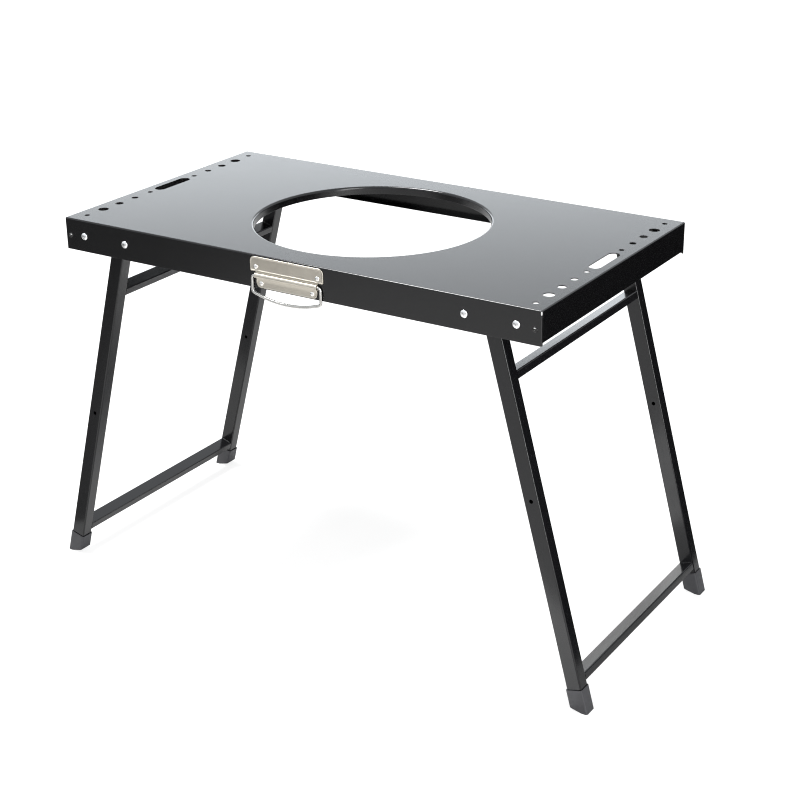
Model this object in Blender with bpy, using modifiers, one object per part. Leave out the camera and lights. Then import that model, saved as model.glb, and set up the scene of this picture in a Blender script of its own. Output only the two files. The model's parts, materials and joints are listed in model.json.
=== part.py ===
"""Folding steel table with a round hole for a charcoal stove, built as its separate pieces.

Metres, +Z up. The origin is on the floor under the middle of the outline, +X runs along the long
side to the right, and the carrying handle is on the front, at -Y.
"""
import math

import bmesh
import bpy
from mathutils import Matrix, Vector

# Gaps between pieces that touch, and around round pieces in their holes
SEAT_GAP = 0.0003
HOLE_CLEARANCE = 0.0003
CUT_MARGIN = 0.004

# Pressed top
TABLE_LENGTH = 0.800
TABLE_DEPTH = 0.445
TABLE_HEIGHT = 0.582
SHEET = 0.0012
BEND_INSIDE_RADIUS = 0.0010
ROUND_PROFILE = 0.5
SKIRT_DEPTH = 0.048
END_SKIRT_STEP = 0.004
CORNER_TAB_LENGTH = 0.022
CORNER_TAB_MARGIN = 0.004
RETURN_WIDTH = 0.013
RETURN_END_GAP = 0.003

# Round hole with its rim turned down
STOVE_HOLE_RADIUS = 0.175
RIM_BEND_RADIUS = 0.0035
RIM_DEPTH = 0.012
RIM_SIDES = 96

# Line of holes and the hand slot at each end of the top, counted from the long edges inwards
END_LINE_INSET = 0.022
SLOT_LENGTH = 0.076
SLOT_WIDTH = 0.0175
FIRST_HOLE_INSET = 0.0245
SLOT_TO_HOLE = 0.016
HOLE_DIAMETERS = (0.0083, 0.016, 0.0125, 0.0103, 0.0083)

# Blind rivets that close the corners
FASTENER_DROP = 0.0243
CORNER_RIVET_DROP = 0.0263
CORNER_RIVET_INSET = 0.0095
CORNER_RIVET_RADIUS = 0.0018
CORNER_RIVET_HEAD_RADIUS = 0.0034
CORNER_RIVET_HEAD_HEIGHT = 0.0017
CORNER_RIVET_TAIL_RADIUS = 0.0027
CORNER_RIVET_TAIL_LENGTH = 0.0028
TAIL_TIP_SHARE = 0.6

# Leg frames
SPLAY = math.radians(15.0)
LEG_LINE_INSET = 0.088
LEG_LINE_DROP = 0.024
LEG_INSET = 0.018
LEG_WIDTH = 0.023
LEG_THICKNESS = 0.020
TUBE_WALL = 0.0012
LEG_CORNER_RADIUS = 0.0020
TUBE_INSIDE_RADIUS = 0.0006
BAR_WIDTH = 0.022
BAR_HEIGHT = 0.012
BAR_CORNER_RADIUS = 0.0015
UPPER_BAR_DROP = 0.113
LOWER_BAR_RISE = 0.044
LEG_HOLE_RADIUS = 0.0030
LEFT_HOLE_RISE = 0.2605
RIGHT_HOLE_RISE = 0.3030
RIGHT_LEG_ABOVE_PIVOT = 0.026
NOSE_START = math.radians(15.0)

# Pivots: the left frame folds flat under the top, and the right frame folds below it
TOP_CLEARANCE = 0.0005
LAYER_CLEARANCE = 0.0004
PIVOT_RADIUS = 0.003
PIVOT_HEAD_ACROSS = 0.010
PIVOT_HEAD_HEIGHT = 0.004
PIVOT_NUT_ACROSS = 0.010
PIVOT_NUT_HEIGHT = 0.005
PIVOT_END = 0.0015
WASHER_RADIUS = 0.0062
WASHER_THICKNESS = 0.0010
SLEEVE_RADIUS = 0.0048

# Hat-shaped hinge brackets inside the long skirts, with their nuts welded on
BRACKET_OUTWARDS = 0.01295
BRACKET_LENGTH = 0.0965
BRACKET_SHEET = 0.0015
BRACKET_BEND = 0.0022
PIVOT_EDGE = 0.0075
STOP_FROM_PIVOT = 0.021
STOP_LENGTH = 0.010
STOP_REACH = 0.014
STOP_MARGIN = 0.0026
SCREW_EDGE = 0.00965
SCREW_RADIUS = 0.0025
SCREW_HEAD_RADIUS = 0.0055
SCREW_HEAD_HEIGHT = 0.0026
SCREW_DIMPLE_RADIUS = 0.0015
SCREW_DIMPLE_DEPTH = 0.0010
SCREW_END = 0.0012
WELD_NUT_ACROSS = 0.008
WELD_NUT_HEIGHT = 0.004

# Foot caps
CAP_WALL = 0.0012
CAP_HEIGHT = 0.0337
CAP_LAND = 0.009
CAP_INNER_RISE = 0.0045
CAP_CORNER_RADIUS = 0.0030
CAP_BOTTOM_RADIUS = 0.0030
CAP_EDGE = 0.0006
TUBE_END_RISE = 0.0150

# Carrying handle on the front skirt
HANDLE_X = 0.004
PLATE_SHEET = 0.0010
PLATE_TOP_DROP = 0.0020
UPPER_PLATE_HEIGHT = 0.0220
PLATE_HEIGHT = 0.0446
UPPER_PLATE_LENGTH = 0.123
PLATE_STEP_WIDTH = 0.010
PLATE_CORNER_RADIUS = 0.0075
STEP_CORNER_RADIUS = 0.0030
STEP_INNER_RADIUS = 0.0008
RIDGE_DROP = 0.0223
RIDGE_RADIUS = 0.0013
BEAD_DROP = 0.0290
BEAD_OVERHANG = 0.001
BEAD_WALL = 0.0011
WIRE_RADIUS = 0.0021
WIRE_PLAY = 0.0005
BAIL_END_GAP = 0.0003
BAIL_DROP = 0.0246
BAIL_BOW = 0.0103
BAIL_TAIL = 0.018
BAIL_TOP_RADIUS = 0.005
BAIL_CORNER_RADIUS = 0.0045
UPPER_RIVET_INSET = 0.0097
LOWER_RIVET_INSET = 0.0085
UPPER_RIVET_DROP = 0.0168
LOWER_RIVET_DROP = 0.0399
HANDLE_RIVET_RADIUS = 0.0015
HANDLE_RIVET_HEAD_RADIUS = 0.0037
HANDLE_RIVET_HEAD_HEIGHT = 0.0016
HANDLE_RIVET_TAIL_RADIUS = 0.0025
HANDLE_RIVET_TAIL_LENGTH = 0.0016

# Places worked out from the sizes above
FRONT, BACK = -1, 1
LEFT, RIGHT = -1, 1
SIDES = {"front": FRONT, "back": BACK}
ENDS = {"left": LEFT, "right": RIGHT}
HALF_LENGTH = TABLE_LENGTH / 2
HALF_DEPTH = TABLE_DEPTH / 2
SKIRT_INSIDE = HALF_DEPTH - SHEET
FASTENER_Z = TABLE_HEIGHT - FASTENER_DROP
CORNER_RIVET_Z = TABLE_HEIGHT - CORNER_RIVET_DROP
CAP_WIDTH = LEG_WIDTH + 2 * (HOLE_CLEARANCE + CAP_WALL)
CAP_THICKNESS = LEG_THICKNESS + 2 * (HOLE_CLEARANCE + CAP_WALL)
LEG_OUTER_Y = HALF_DEPTH - LEG_INSET
LEG_MIDDLE_Y = LEG_OUTER_Y - LEG_THICKNESS / 2
LEG_INNER_Y = LEG_OUTER_Y - LEG_THICKNESS
PLATFORM_FACE = LEG_OUTER_Y + 2 * SEAT_GAP + WASHER_THICKNESS
UPPER_LAYER_DROP = SHEET + TOP_CLEARANCE + CAP_WIDTH / 2
LOWER_LAYER_DROP = UPPER_LAYER_DROP + CAP_WIDTH / 2 + LAYER_CLEARANCE + LEG_WIDTH / 2
BRACKET_X = HALF_LENGTH - LEG_LINE_INSET + BRACKET_OUTWARDS
SCREW_OFFSET = BRACKET_LENGTH / 2 - SCREW_EDGE
HINGE_Y = -HALF_DEPTH - SEAT_GAP - WIRE_RADIUS
PLATE_BACK_Y = -HALF_DEPTH - SEAT_GAP
LOWER_PLATE_LENGTH = UPPER_PLATE_LENGTH - 2 * PLATE_STEP_WIDTH
BEAD_LENGTH = LOWER_PLATE_LENGTH + 2 * BEAD_OVERHANG
BEAD_RADIUS = WIRE_RADIUS + WIRE_PLAY + BEAD_WALL
OUTLINE_SHIFT = (BEAD_RADIUS - HINGE_Y - (HALF_DEPTH + SEAT_GAP + SCREW_HEAD_HEIGHT)) / 2

# Turns that lay a flat shape's thickness along Y or along X
ALONG_Y = Matrix.Rotation(math.pi / 2, 4, "X")
ALONG_X = Matrix(((0, 0, 1, 0), (1, 0, 0, 0), (0, 1, 0, 0), (0, 0, 0, 1)))


def start_scene():
    """Empties the scene and makes a collection for the parts and one for the cutters."""
    for thing in list(bpy.data.objects):
        bpy.data.objects.remove(thing, do_unlink=True)
    made = []
    for name in ("charcoal_stove_table", "cutters"):
        group = bpy.data.collections.new(name)
        bpy.context.scene.collection.children.link(group)
        made.append(group)
    return made


PARTS, CUTTERS = start_scene()


def empty(name, place, parent=None):
    """An empty that other objects hang on."""
    holder = bpy.data.objects.new(name, None)
    PARTS.objects.link(holder)
    holder.location = place
    holder.parent = parent
    return holder


# Every piece hangs on this empty, which centres the outline, handle and screw heads included
TABLE = empty("table", (0, OUTLINE_SHIFT, 0))


def finish(name, colour, roughness, metallic):
    """Makes a plain Principled material."""
    material = bpy.data.materials.new(name)
    material.use_nodes = True
    shader = material.node_tree.nodes["Principled BSDF"]
    shader.inputs["Base Color"].default_value = (*colour, 1.0)
    shader.inputs["Roughness"].default_value = roughness
    shader.inputs["Metallic"].default_value = metallic
    return material


POWDER_COAT = finish("satin black powder coat", (0.018, 0.018, 0.020), 0.34, 0.0)
FRAME_COAT = finish("black coated tube", (0.026, 0.026, 0.029), 0.42, 0.0)
BRACKET_COAT = finish("black coated bracket", (0.022, 0.022, 0.024), 0.45, 0.0)
RIVET_COAT = finish("black rivet", (0.020, 0.020, 0.020), 0.30, 0.0)
CHROME = finish("chrome screw", (0.82, 0.82, 0.84), 0.12, 1.0)
NICKEL = finish("nickel plated steel", (0.62, 0.60, 0.55), 0.24, 1.0)
ZINC = finish("zinc plated steel", (0.55, 0.56, 0.58), 0.35, 1.0)
CAP_PLASTIC = finish("black plastic cap", (0.030, 0.030, 0.033), 0.60, 0.0)


def part(name, mesh, material=None, place=(0, 0, 0), parent=TABLE, group=PARTS):
    """Puts a mesh into the scene as a named object, smooth where its faces meet gently."""
    piece = bpy.data.objects.new(name, mesh)
    group.objects.link(piece)
    piece.parent = parent
    piece.location = place
    if material:
        mesh.materials.append(material)
    mesh.shade_smooth()
    mesh.set_sharp_from_angle(angle=math.radians(30))
    return piece


def cut(piece, mesh, operation="DIFFERENCE", place=(0, 0, 0), parent=TABLE):
    """Cuts the piece with a mesh, or joins the mesh to it."""
    tool = part(mesh.name, mesh, None, place, parent, CUTTERS)
    tool.hide_render = True
    tool.display_type = "WIRE"
    step = piece.modifiers.new(tool.name, "BOOLEAN")
    step.operation = operation
    step.solver = "EXACT"
    step.object = tool


def solidify(piece, thickness, offset):
    """Gives an open surface its thickness."""
    step = piece.modifiers.new("thickness", "SOLIDIFY")
    step.thickness = thickness
    step.offset = offset
    step.use_even_offset = True


def mesh_from(name, build):
    """Runs a function that fills a bmesh, and returns its mesh with the faces pointing out."""
    bm = bmesh.new()
    build(bm)
    bmesh.ops.remove_doubles(bm, verts=bm.verts, dist=0.00001)
    bmesh.ops.recalc_face_normals(bm, faces=bm.faces)
    mesh = bpy.data.meshes.new(name)
    bm.to_mesh(mesh)
    bm.free()
    return mesh


def blocks(name, size, places, turn=Matrix()):
    """Equal boxes about their centres, in one mesh."""
    def build(bm):
        for place in places:
            matrix = Matrix.Translation(place) @ turn @ Matrix.Diagonal((*size, 1))
            bmesh.ops.create_cube(bm, size=1, matrix=matrix)
    return mesh_from(name, build)


def rods(name, radius, length, places, sides=14):
    """Equal rods along Y about their centres, in one mesh; with six sides they are hexagons."""
    def build(bm):
        for place in places:
            bmesh.ops.create_cone(bm, cap_ends=True, segments=sides, radius1=radius, radius2=radius,
                                  depth=length, matrix=Matrix.Translation(place) @ ALONG_Y)
    return mesh_from(name, build)


def hexagon(name, across, height, places):
    """Six-sided bars along Y, by their width across the flats."""
    return rods(name, across / math.sqrt(3), height, places, sides=6)


def turned(name, profile, facing, sides=16):
    """A piece turned about Y from (radius, height) points; its height runs out along Y."""
    def build(bm):
        line = [bm.verts.new((radius, facing * height, 0)) for radius, height in profile]
        edges = [bm.edges.new(pair) for pair in zip(line, line[1:])]
        bmesh.ops.spin(bm, geom=line + edges, cent=(0, 0, 0), axis=(0, 1, 0), angle=math.tau,
                       steps=sides, use_merge=True)
    return mesh_from(name, build)


def dome(radius, base, height, hole=0.0, steps=4):
    """Profile points over a domed head, from its rim to its middle or to the edge of a dimple."""
    last = math.acos(hole / radius)
    angles = [last * step / steps for step in range(steps + 1)]
    return [(radius * math.cos(angle), base + height * math.sin(angle)) for angle in angles]


def arc(centre, radius, start, end, steps):
    """Points on an arc in the flat shape's plane."""
    angles = [start + (end - start) * step / steps for step in range(steps + 1)]
    return [(centre[0] + radius * math.cos(a), centre[1] + radius * math.sin(a), 0) for a in angles]


def rounded(corners, radii, steps=3):
    """Replaces the corners of an outline or a path with arcs; a radius of zero keeps the corner."""
    points = []
    for index, (corner, radius) in enumerate(zip(corners, radii)):
        here = Vector(corner)
        if radius == 0:
            points.append(here)
            continue
        before = (Vector(corners[index - 1]) - here).normalized()
        after = (Vector(corners[(index + 1) % len(corners)]) - here).normalized()
        half_angle = before.angle(after) / 2
        centre = here + (before + after).normalized() * radius / math.sin(half_angle)
        first = here + before * radius / math.tan(half_angle) - centre
        axis = before.cross(after)
        for step in range(steps + 1):
            turn = Matrix.Rotation((2 * half_angle - math.pi) * step / steps, 3, axis)
            points.append(centre + turn @ first)
    return points


def rectangle(width, height, radius, steps=3):
    """A rectangle with rounded corners about the origin."""
    x, y = width / 2, height / 2
    return rounded([(-x, -y, 0), (x, -y, 0), (x, y, 0), (-x, y, 0)], [radius] * 4, steps)


def curve_mesh(name, splines, closed, **settings):
    """Makes a curve from lists of points, and returns its mesh with the caps welded on."""
    curve = bpy.data.curves.new(name, "CURVE")
    for setting, value in settings.items():
        setattr(curve, setting, value)
    for points in splines:
        spline = curve.splines.new("POLY")
        spline.points.add(len(points) - 1)
        for target, point in zip(spline.points, points):
            target.co = (*point, 1)
        spline.use_cyclic_u = closed
    guide = bpy.data.objects.new(name, curve)
    bpy.context.scene.collection.objects.link(guide)
    ready = guide.evaluated_get(bpy.context.evaluated_depsgraph_get())
    raw = bpy.data.meshes.new_from_object(ready)
    bpy.data.objects.remove(guide)
    mesh = mesh_from(name, lambda bm: bm.from_mesh(raw))
    bpy.data.meshes.remove(raw)
    mesh.name = name
    return mesh


def flat(name, outlines, thickness, turn=Matrix()):
    """Fills closed outlines, gives them a thickness about their plane, and turns the result."""
    mesh = curve_mesh(name, outlines, True, dimensions="2D", fill_mode="BOTH", extrude=thickness / 2)
    mesh.transform(turn)
    return mesh


def tube_outlines(width, height, radius):
    """Outside and inside of a rectangular tube."""
    inside = rectangle(width - 2 * TUBE_WALL, height - 2 * TUBE_WALL, TUBE_INSIDE_RADIUS, steps=1)
    return [rectangle(width, height, radius), inside]


def corners_of(x, y, z):
    """The same place at all four corners of the table, by side and end."""
    return [(end * x, side * y, z) for side in SIDES.values() for end in ENDS.values()]


def screw_places(y):
    """The eight bracket screws, at a distance y from the table's middle."""
    xs = [end * (BRACKET_X + offset) for end in ENDS.values() for offset in (-SCREW_OFFSET, SCREW_OFFSET)]
    return [(x, side * y, FASTENER_Z) for side in SIDES.values() for x in xs]


def handle_rivet_places():
    """The four handle rivets by name, as (x, z)."""
    rows = {"upper": (UPPER_PLATE_LENGTH / 2 - UPPER_RIVET_INSET, UPPER_RIVET_DROP),
            "lower": (LOWER_PLATE_LENGTH / 2 - LOWER_RIVET_INSET, LOWER_RIVET_DROP)}
    return {f"{row}_{end_name}": (HANDLE_X + end * offset, TABLE_HEIGHT - drop)
            for row, (offset, drop) in rows.items() for end_name, end in ENDS.items()}


def top_surface(bm):
    """The outer face of the pressed top: the plate and its hole, the skirts and the rim."""
    bend = BEND_INSIDE_RADIUS + SHEET
    corners = [(x, y, 0) for x, y in ((-HALF_LENGTH, -HALF_DEPTH), (HALF_LENGTH, -HALF_DEPTH),
                                      (HALF_LENGTH, HALF_DEPTH), (-HALF_LENGTH, HALF_DEPTH))]
    hole = arc((0, 0), STOVE_HOLE_RADIUS + RIM_BEND_RADIUS, 0, math.tau, RIM_SIDES)[:-1]
    plate = curve_mesh("plate", [corners, hole], True, dimensions="2D", fill_mode="BOTH")
    bm.from_mesh(plate)
    bpy.data.meshes.remove(plate)
    outer = [e for e in bm.edges if e.is_boundary and e.calc_length() > HALF_DEPTH]
    skirts = bmesh.ops.extrude_edge_only(bm, edges=outer)["geom"]
    lowered = [item for item in skirts if isinstance(item, bmesh.types.BMVert)]
    bmesh.ops.translate(bm, verts=lowered, vec=(0, 0, -SKIRT_DEPTH))
    upright = [e for v in lowered for e in v.link_edges if abs(e.verts[0].co.z - e.verts[1].co.z) > 0]
    bends = [e for e in outer + upright if e.is_valid]
    bmesh.ops.bevel(bm, geom=list(set(bends)), offset=bend, segments=3, profile=ROUND_PROFILE,
                     affect="EDGES")
    centre = (STOVE_HOLE_RADIUS + RIM_BEND_RADIUS, -RIM_BEND_RADIUS)
    profile = arc(centre, RIM_BEND_RADIUS, math.pi / 2, math.pi, 4) + [(STOVE_HOLE_RADIUS, -RIM_DEPTH, 0)]
    line = [bm.verts.new((radius, 0, height)) for radius, height, _ in profile]
    edges = [bm.edges.new(pair) for pair in zip(line, line[1:])]
    bmesh.ops.spin(bm, geom=line + edges, cent=(0, 0, 0), axis=(0, 0, 1), angle=math.tau,
                   steps=RIM_SIDES, use_merge=True)


def end_line_outlines():
    """The outlines of the hand slots and of the round holes at both ends of the top."""
    outlines = []
    first_y = HALF_DEPTH - FIRST_HOLE_INSET
    last_y = SLOT_LENGTH / 2 + SLOT_TO_HOLE
    pitch = (first_y - last_y) / (len(HOLE_DIAMETERS) - 1)
    for end in ENDS.values():
        x = end * (HALF_LENGTH - END_LINE_INSET)
        straight = (SLOT_LENGTH - SLOT_WIDTH) / 2
        outlines.append(arc((x, straight), SLOT_WIDTH / 2, 0, math.pi, 8)
                        + arc((x, -straight), SLOT_WIDTH / 2, math.pi, math.tau, 8))
        for side in SIDES.values():
            for number, diameter in enumerate(HOLE_DIAMETERS):
                centre = (x, side * (first_y - number * pitch))
                outlines.append(arc(centre, diameter / 2, 0, math.tau, 20)[:-1])
    return outlines


def skirt_returns():
    """Size and places of the strips turned inwards under the long skirts, between the brackets."""
    half = BRACKET_X - BRACKET_LENGTH / 2 - RETURN_END_GAP
    width = RETURN_WIDTH + SHEET / 2
    y, z = SKIRT_INSIDE - RETURN_WIDTH + width / 2, TABLE_HEIGHT - SKIRT_DEPTH + SHEET / 2
    return (2 * half, width, SHEET), [(0, side * y, z) for side in SIDES.values()]


def build_top():
    """Pressed top with its corner tabs and skirt returns, and every hole that goes through it."""
    top = part("table_top", mesh_from("table_top", top_surface), POWDER_COAT, (0, 0, TABLE_HEIGHT))
    solidify(top, SHEET, -1)
    tab_height = SKIRT_DEPTH - END_SKIRT_STEP - 2 * CORNER_TAB_MARGIN
    tab_x = HALF_LENGTH - SHEET / 2 - CORNER_TAB_LENGTH / 2
    tab_z = TABLE_HEIGHT - CORNER_TAB_MARGIN - tab_height / 2
    tabs = corners_of(tab_x, SKIRT_INSIDE - SEAT_GAP - SHEET / 2, tab_z)
    cut(top, blocks("corner_tabs", (CORNER_TAB_LENGTH, SHEET, tab_height), tabs), "UNION")
    cut(top, blocks("skirt_returns", *skirt_returns()), "UNION")
    step_size = (2 * CUT_MARGIN, TABLE_DEPTH - 2 * (BEND_INSIDE_RADIUS + SHEET), 2 * END_SKIRT_STEP)
    steps = [(end * HALF_LENGTH, 0, TABLE_HEIGHT - SKIRT_DEPTH) for end in ENDS.values()]
    cut(top, blocks("end_skirt_steps", step_size, steps))
    through = 2 * CUT_MARGIN
    rivets = corners_of(HALF_LENGTH - CORNER_RIVET_INSET, SKIRT_INSIDE, CORNER_RIVET_Z)
    cut(top, rods("corner_rivet_holes", CORNER_RIVET_RADIUS + HOLE_CLEARANCE, through, rivets))
    cut(top, rods("screw_holes", SCREW_RADIUS + HOLE_CLEARANCE, through, screw_places(HALF_DEPTH)))
    handle = [(x, -HALF_DEPTH, z) for x, z in handle_rivet_places().values()]
    cut(top, rods("handle_rivet_holes", HANDLE_RIVET_RADIUS + HOLE_CLEARANCE, through, handle))
    cut(top, flat("end_lines", end_line_outlines(), 2 * CUT_MARGIN), place=(0, 0, TABLE_HEIGHT))


def build_corner_rivets():
    """Blind rivets through the long skirts and the tabs behind them."""
    grip = 2 * SHEET + 2 * SEAT_GAP
    tail = grip + CORNER_RIVET_TAIL_LENGTH
    for side_name, side in SIDES.items():
        profile = [(0, -tail), (CORNER_RIVET_TAIL_RADIUS * TAIL_TIP_SHARE, -tail),
                   (CORNER_RIVET_TAIL_RADIUS, -tail + CORNER_RIVET_TAIL_LENGTH / 2),
                   (CORNER_RIVET_TAIL_RADIUS, -grip), (CORNER_RIVET_RADIUS, -grip),
                   (CORNER_RIVET_RADIUS, SEAT_GAP)]
        profile += dome(CORNER_RIVET_HEAD_RADIUS, SEAT_GAP, CORNER_RIVET_HEAD_HEIGHT)
        for end_name, end in ENDS.items():
            place = (end * (HALF_LENGTH - CORNER_RIVET_INSET), side * HALF_DEPTH, CORNER_RIVET_Z)
            name = f"corner_rivet_{side_name}_{end_name}"
            part(name, turned(name, profile, side), RIVET_COAT, place)


def pivot_place(end):
    """Where the leg line meets the height that the frame's folded layer asks for, as (x, z)."""
    drop = UPPER_LAYER_DROP if end == LEFT else LOWER_LAYER_DROP
    x = HALF_LENGTH - LEG_LINE_INSET + (drop - LEG_LINE_DROP) * math.tan(SPLAY)
    return end * x, TABLE_HEIGHT - drop


def platform_half_length():
    """Half the length of a bracket's raised part: it reaches past the stop of the right frame."""
    from_pivot = (LEG_WIDTH / 2 + SEAT_GAP + BRACKET_SHEET) * math.cos(SPLAY)
    along_leg = (STOP_FROM_PIVOT + STOP_LENGTH / 2) * math.sin(SPLAY)
    stop_x = pivot_place(RIGHT)[0] - from_pivot - along_leg
    return BRACKET_X - stop_x + STOP_MARGIN


def build_bracket(side_name, end_name):
    """Hat-shaped bracket with two weld nuts, and the bent tongue that the opened leg rests on."""
    side, end = SIDES[side_name], ENDS[end_name]
    name = f"hinge_bracket_{side_name}_{end_name}"
    pivot_x, pivot_z = pivot_place(end)
    top_z = TABLE_HEIGHT - UPPER_LAYER_DROP + PIVOT_EDGE
    bottom_z = TABLE_HEIGHT - LOWER_LAYER_DROP - PIVOT_EDGE
    centre = Vector((end * BRACKET_X, 0, (top_z + bottom_z) / 2))
    flange_y = side * (SKIRT_INSIDE - SEAT_GAP - BRACKET_SHEET / 2)
    platform_y = side * (PLATFORM_FACE + BRACKET_SHEET / 2)
    half, web = BRACKET_LENGTH / 2, platform_half_length()
    corners = [(-half, flange_y, 0), (-web, flange_y, 0), (-web, platform_y, 0),
               (web, platform_y, 0), (web, flange_y, 0), (half, flange_y, 0)]
    path = rounded(corners, [0, BRACKET_BEND, BRACKET_BEND, BRACKET_BEND, BRACKET_BEND, 0])
    ribbon = curve_mesh(name, [path], False, dimensions="2D", fill_mode="NONE",
                        extrude=(top_z - bottom_z) / 2)
    bracket = part(name, ribbon, BRACKET_COAT, centre)
    solidify(bracket, BRACKET_SHEET, 0)
    nut_y = flange_y - side * WELD_NUT_HEIGHT / 2
    nuts = [(end * BRACKET_X + x, nut_y, FASTENER_Z) for x in (-SCREW_OFFSET, SCREW_OFFSET)]
    weld_nuts = hexagon(f"weld_nuts_{side_name}_{end_name}", WELD_NUT_ACROSS, WELD_NUT_HEIGHT, nuts)
    cut(bracket, weld_nuts, "UNION")
    stop_y = side * (PLATFORM_FACE + BRACKET_SHEET / 2 - STOP_REACH / 2)
    lean = Matrix.Rotation(-end * SPLAY, 4, "Y")
    offset = lean @ Vector((-(LEG_WIDTH / 2 + SEAT_GAP + BRACKET_SHEET / 2), 0, end * STOP_FROM_PIVOT))
    stop_place = Vector((pivot_x, stop_y, pivot_z)) + offset
    stop_size = (BRACKET_SHEET, STOP_REACH, STOP_LENGTH)
    cut(bracket, blocks(f"stop_{side_name}_{end_name}", stop_size, [stop_place], lean), "UNION")
    screws = [(x, flange_y, FASTENER_Z) for x, _, _ in nuts]
    length = 2 * (WELD_NUT_HEIGHT + CUT_MARGIN)
    cut(bracket, rods(f"nut_bores_{side_name}_{end_name}", SCREW_RADIUS + HOLE_CLEARANCE, length, screws))
    pivot = [(pivot_x, platform_y, pivot_z)]
    bore = rods(f"pivot_bore_{side_name}_{end_name}", PIVOT_RADIUS + HOLE_CLEARANCE, 2 * CUT_MARGIN, pivot)
    cut(bracket, bore)


def build_bracket_screws():
    """Truss-head screws through the long skirts into the weld nuts, each with a small dimple."""
    tip = -(SHEET + SEAT_GAP + BRACKET_SHEET / 2 + WELD_NUT_HEIGHT + SCREW_END)
    head_top = SEAT_GAP + SCREW_HEAD_HEIGHT
    profile = [(0, tip), (SCREW_RADIUS, tip), (SCREW_RADIUS, SEAT_GAP)]
    profile += dome(SCREW_HEAD_RADIUS, SEAT_GAP, SCREW_HEAD_HEIGHT, SCREW_DIMPLE_RADIUS)
    profile.append((0, head_top - SCREW_DIMPLE_DEPTH))
    for side_name, side in SIDES.items():
        for end_name, end in ENDS.items():
            for which, offset in (("inner", -SCREW_OFFSET), ("outer", SCREW_OFFSET)):
                name = f"bracket_screw_{side_name}_{end_name}_{which}"
                place = (end * (BRACKET_X + offset), side * HALF_DEPTH, FASTENER_Z)
                part(name, turned(name, profile, side), CHROME, place)


def build_pivot(side_name, end_name):
    """Bolt, two washers and lock nut that hang a leg on its bracket."""
    side, end = SIDES[side_name], ENDS[end_name]
    corner = f"{side_name}_{end_name}"
    x, z = pivot_place(end)
    head_base = PLATFORM_FACE + BRACKET_SHEET + SEAT_GAP
    washer_y = LEG_INNER_Y - SEAT_GAP - WASHER_THICKNESS / 2
    nut_top = LEG_INNER_Y - 2 * SEAT_GAP - WASHER_THICKNESS
    tip = nut_top - PIVOT_NUT_HEIGHT - PIVOT_END
    head = hexagon(f"pivot_bolt_{corner}", PIVOT_HEAD_ACROSS, PIVOT_HEAD_HEIGHT,
                   [(0, side * (head_base + PIVOT_HEAD_HEIGHT / 2), 0)])
    bolt = part(f"pivot_bolt_{corner}", head, ZINC, (x, 0, z))
    shank_top = head_base + PIVOT_HEAD_HEIGHT / 2
    shank_place = (x, side * (shank_top + tip) / 2, z)
    cut(bolt, rods(f"pivot_shank_{corner}", PIVOT_RADIUS, shank_top - tip, [shank_place]), "UNION")
    bore = PIVOT_RADIUS + HOLE_CLEARANCE
    ring = [(bore, -WASHER_THICKNESS / 2), (WASHER_RADIUS, -WASHER_THICKNESS / 2),
            (WASHER_RADIUS, WASHER_THICKNESS / 2), (bore, WASHER_THICKNESS / 2),
            (bore, -WASHER_THICKNESS / 2)]
    for name, y in (("leg_washer", LEG_OUTER_Y + SEAT_GAP + WASHER_THICKNESS / 2), ("nut_washer", washer_y)):
        part(f"{name}_{corner}", turned(f"{name}_{corner}", ring, side, 14), ZINC, (x, side * y, z))
    nut_y = side * (nut_top - PIVOT_NUT_HEIGHT / 2)
    name = f"pivot_nut_{corner}"
    nut = part(name, hexagon(name, PIVOT_NUT_ACROSS, PIVOT_NUT_HEIGHT, [(0, 0, 0)]), ZINC, (x, nut_y, z))
    cut(nut, rods(f"nut_thread_{corner}", bore, 2 * PIVOT_NUT_HEIGHT, [(x, nut_y, z)]))


def foot_outline(end, floor_z):
    """What is cut away under a foot cap: level with the floor outside, rising towards the middle."""
    half = CAP_WIDTH / 2
    wide, slope = half + CUT_MARGIN, math.tan(SPLAY)
    land = half - CAP_LAND * math.cos(SPLAY)
    inner_z = floor_z + half * slope + CAP_INNER_RISE / math.cos(SPLAY)
    corners = [(land, floor_z - land * slope, 0), (-half, inner_z, 0), (-half, inner_z + CAP_HEIGHT, 0)]
    curve = rounded(corners, [0, CAP_BOTTOM_RADIUS, 0])[:-2]
    below = floor_z - wide * slope - CUT_MARGIN
    outline = [(wide, below), (wide, floor_z - wide * slope)] + [(point[0], point[1]) for point in curve]
    outline += [(-wide, curve[-1][1]), (-wide, below)]
    return [(end * x, z, 0) for x, z in outline]


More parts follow.
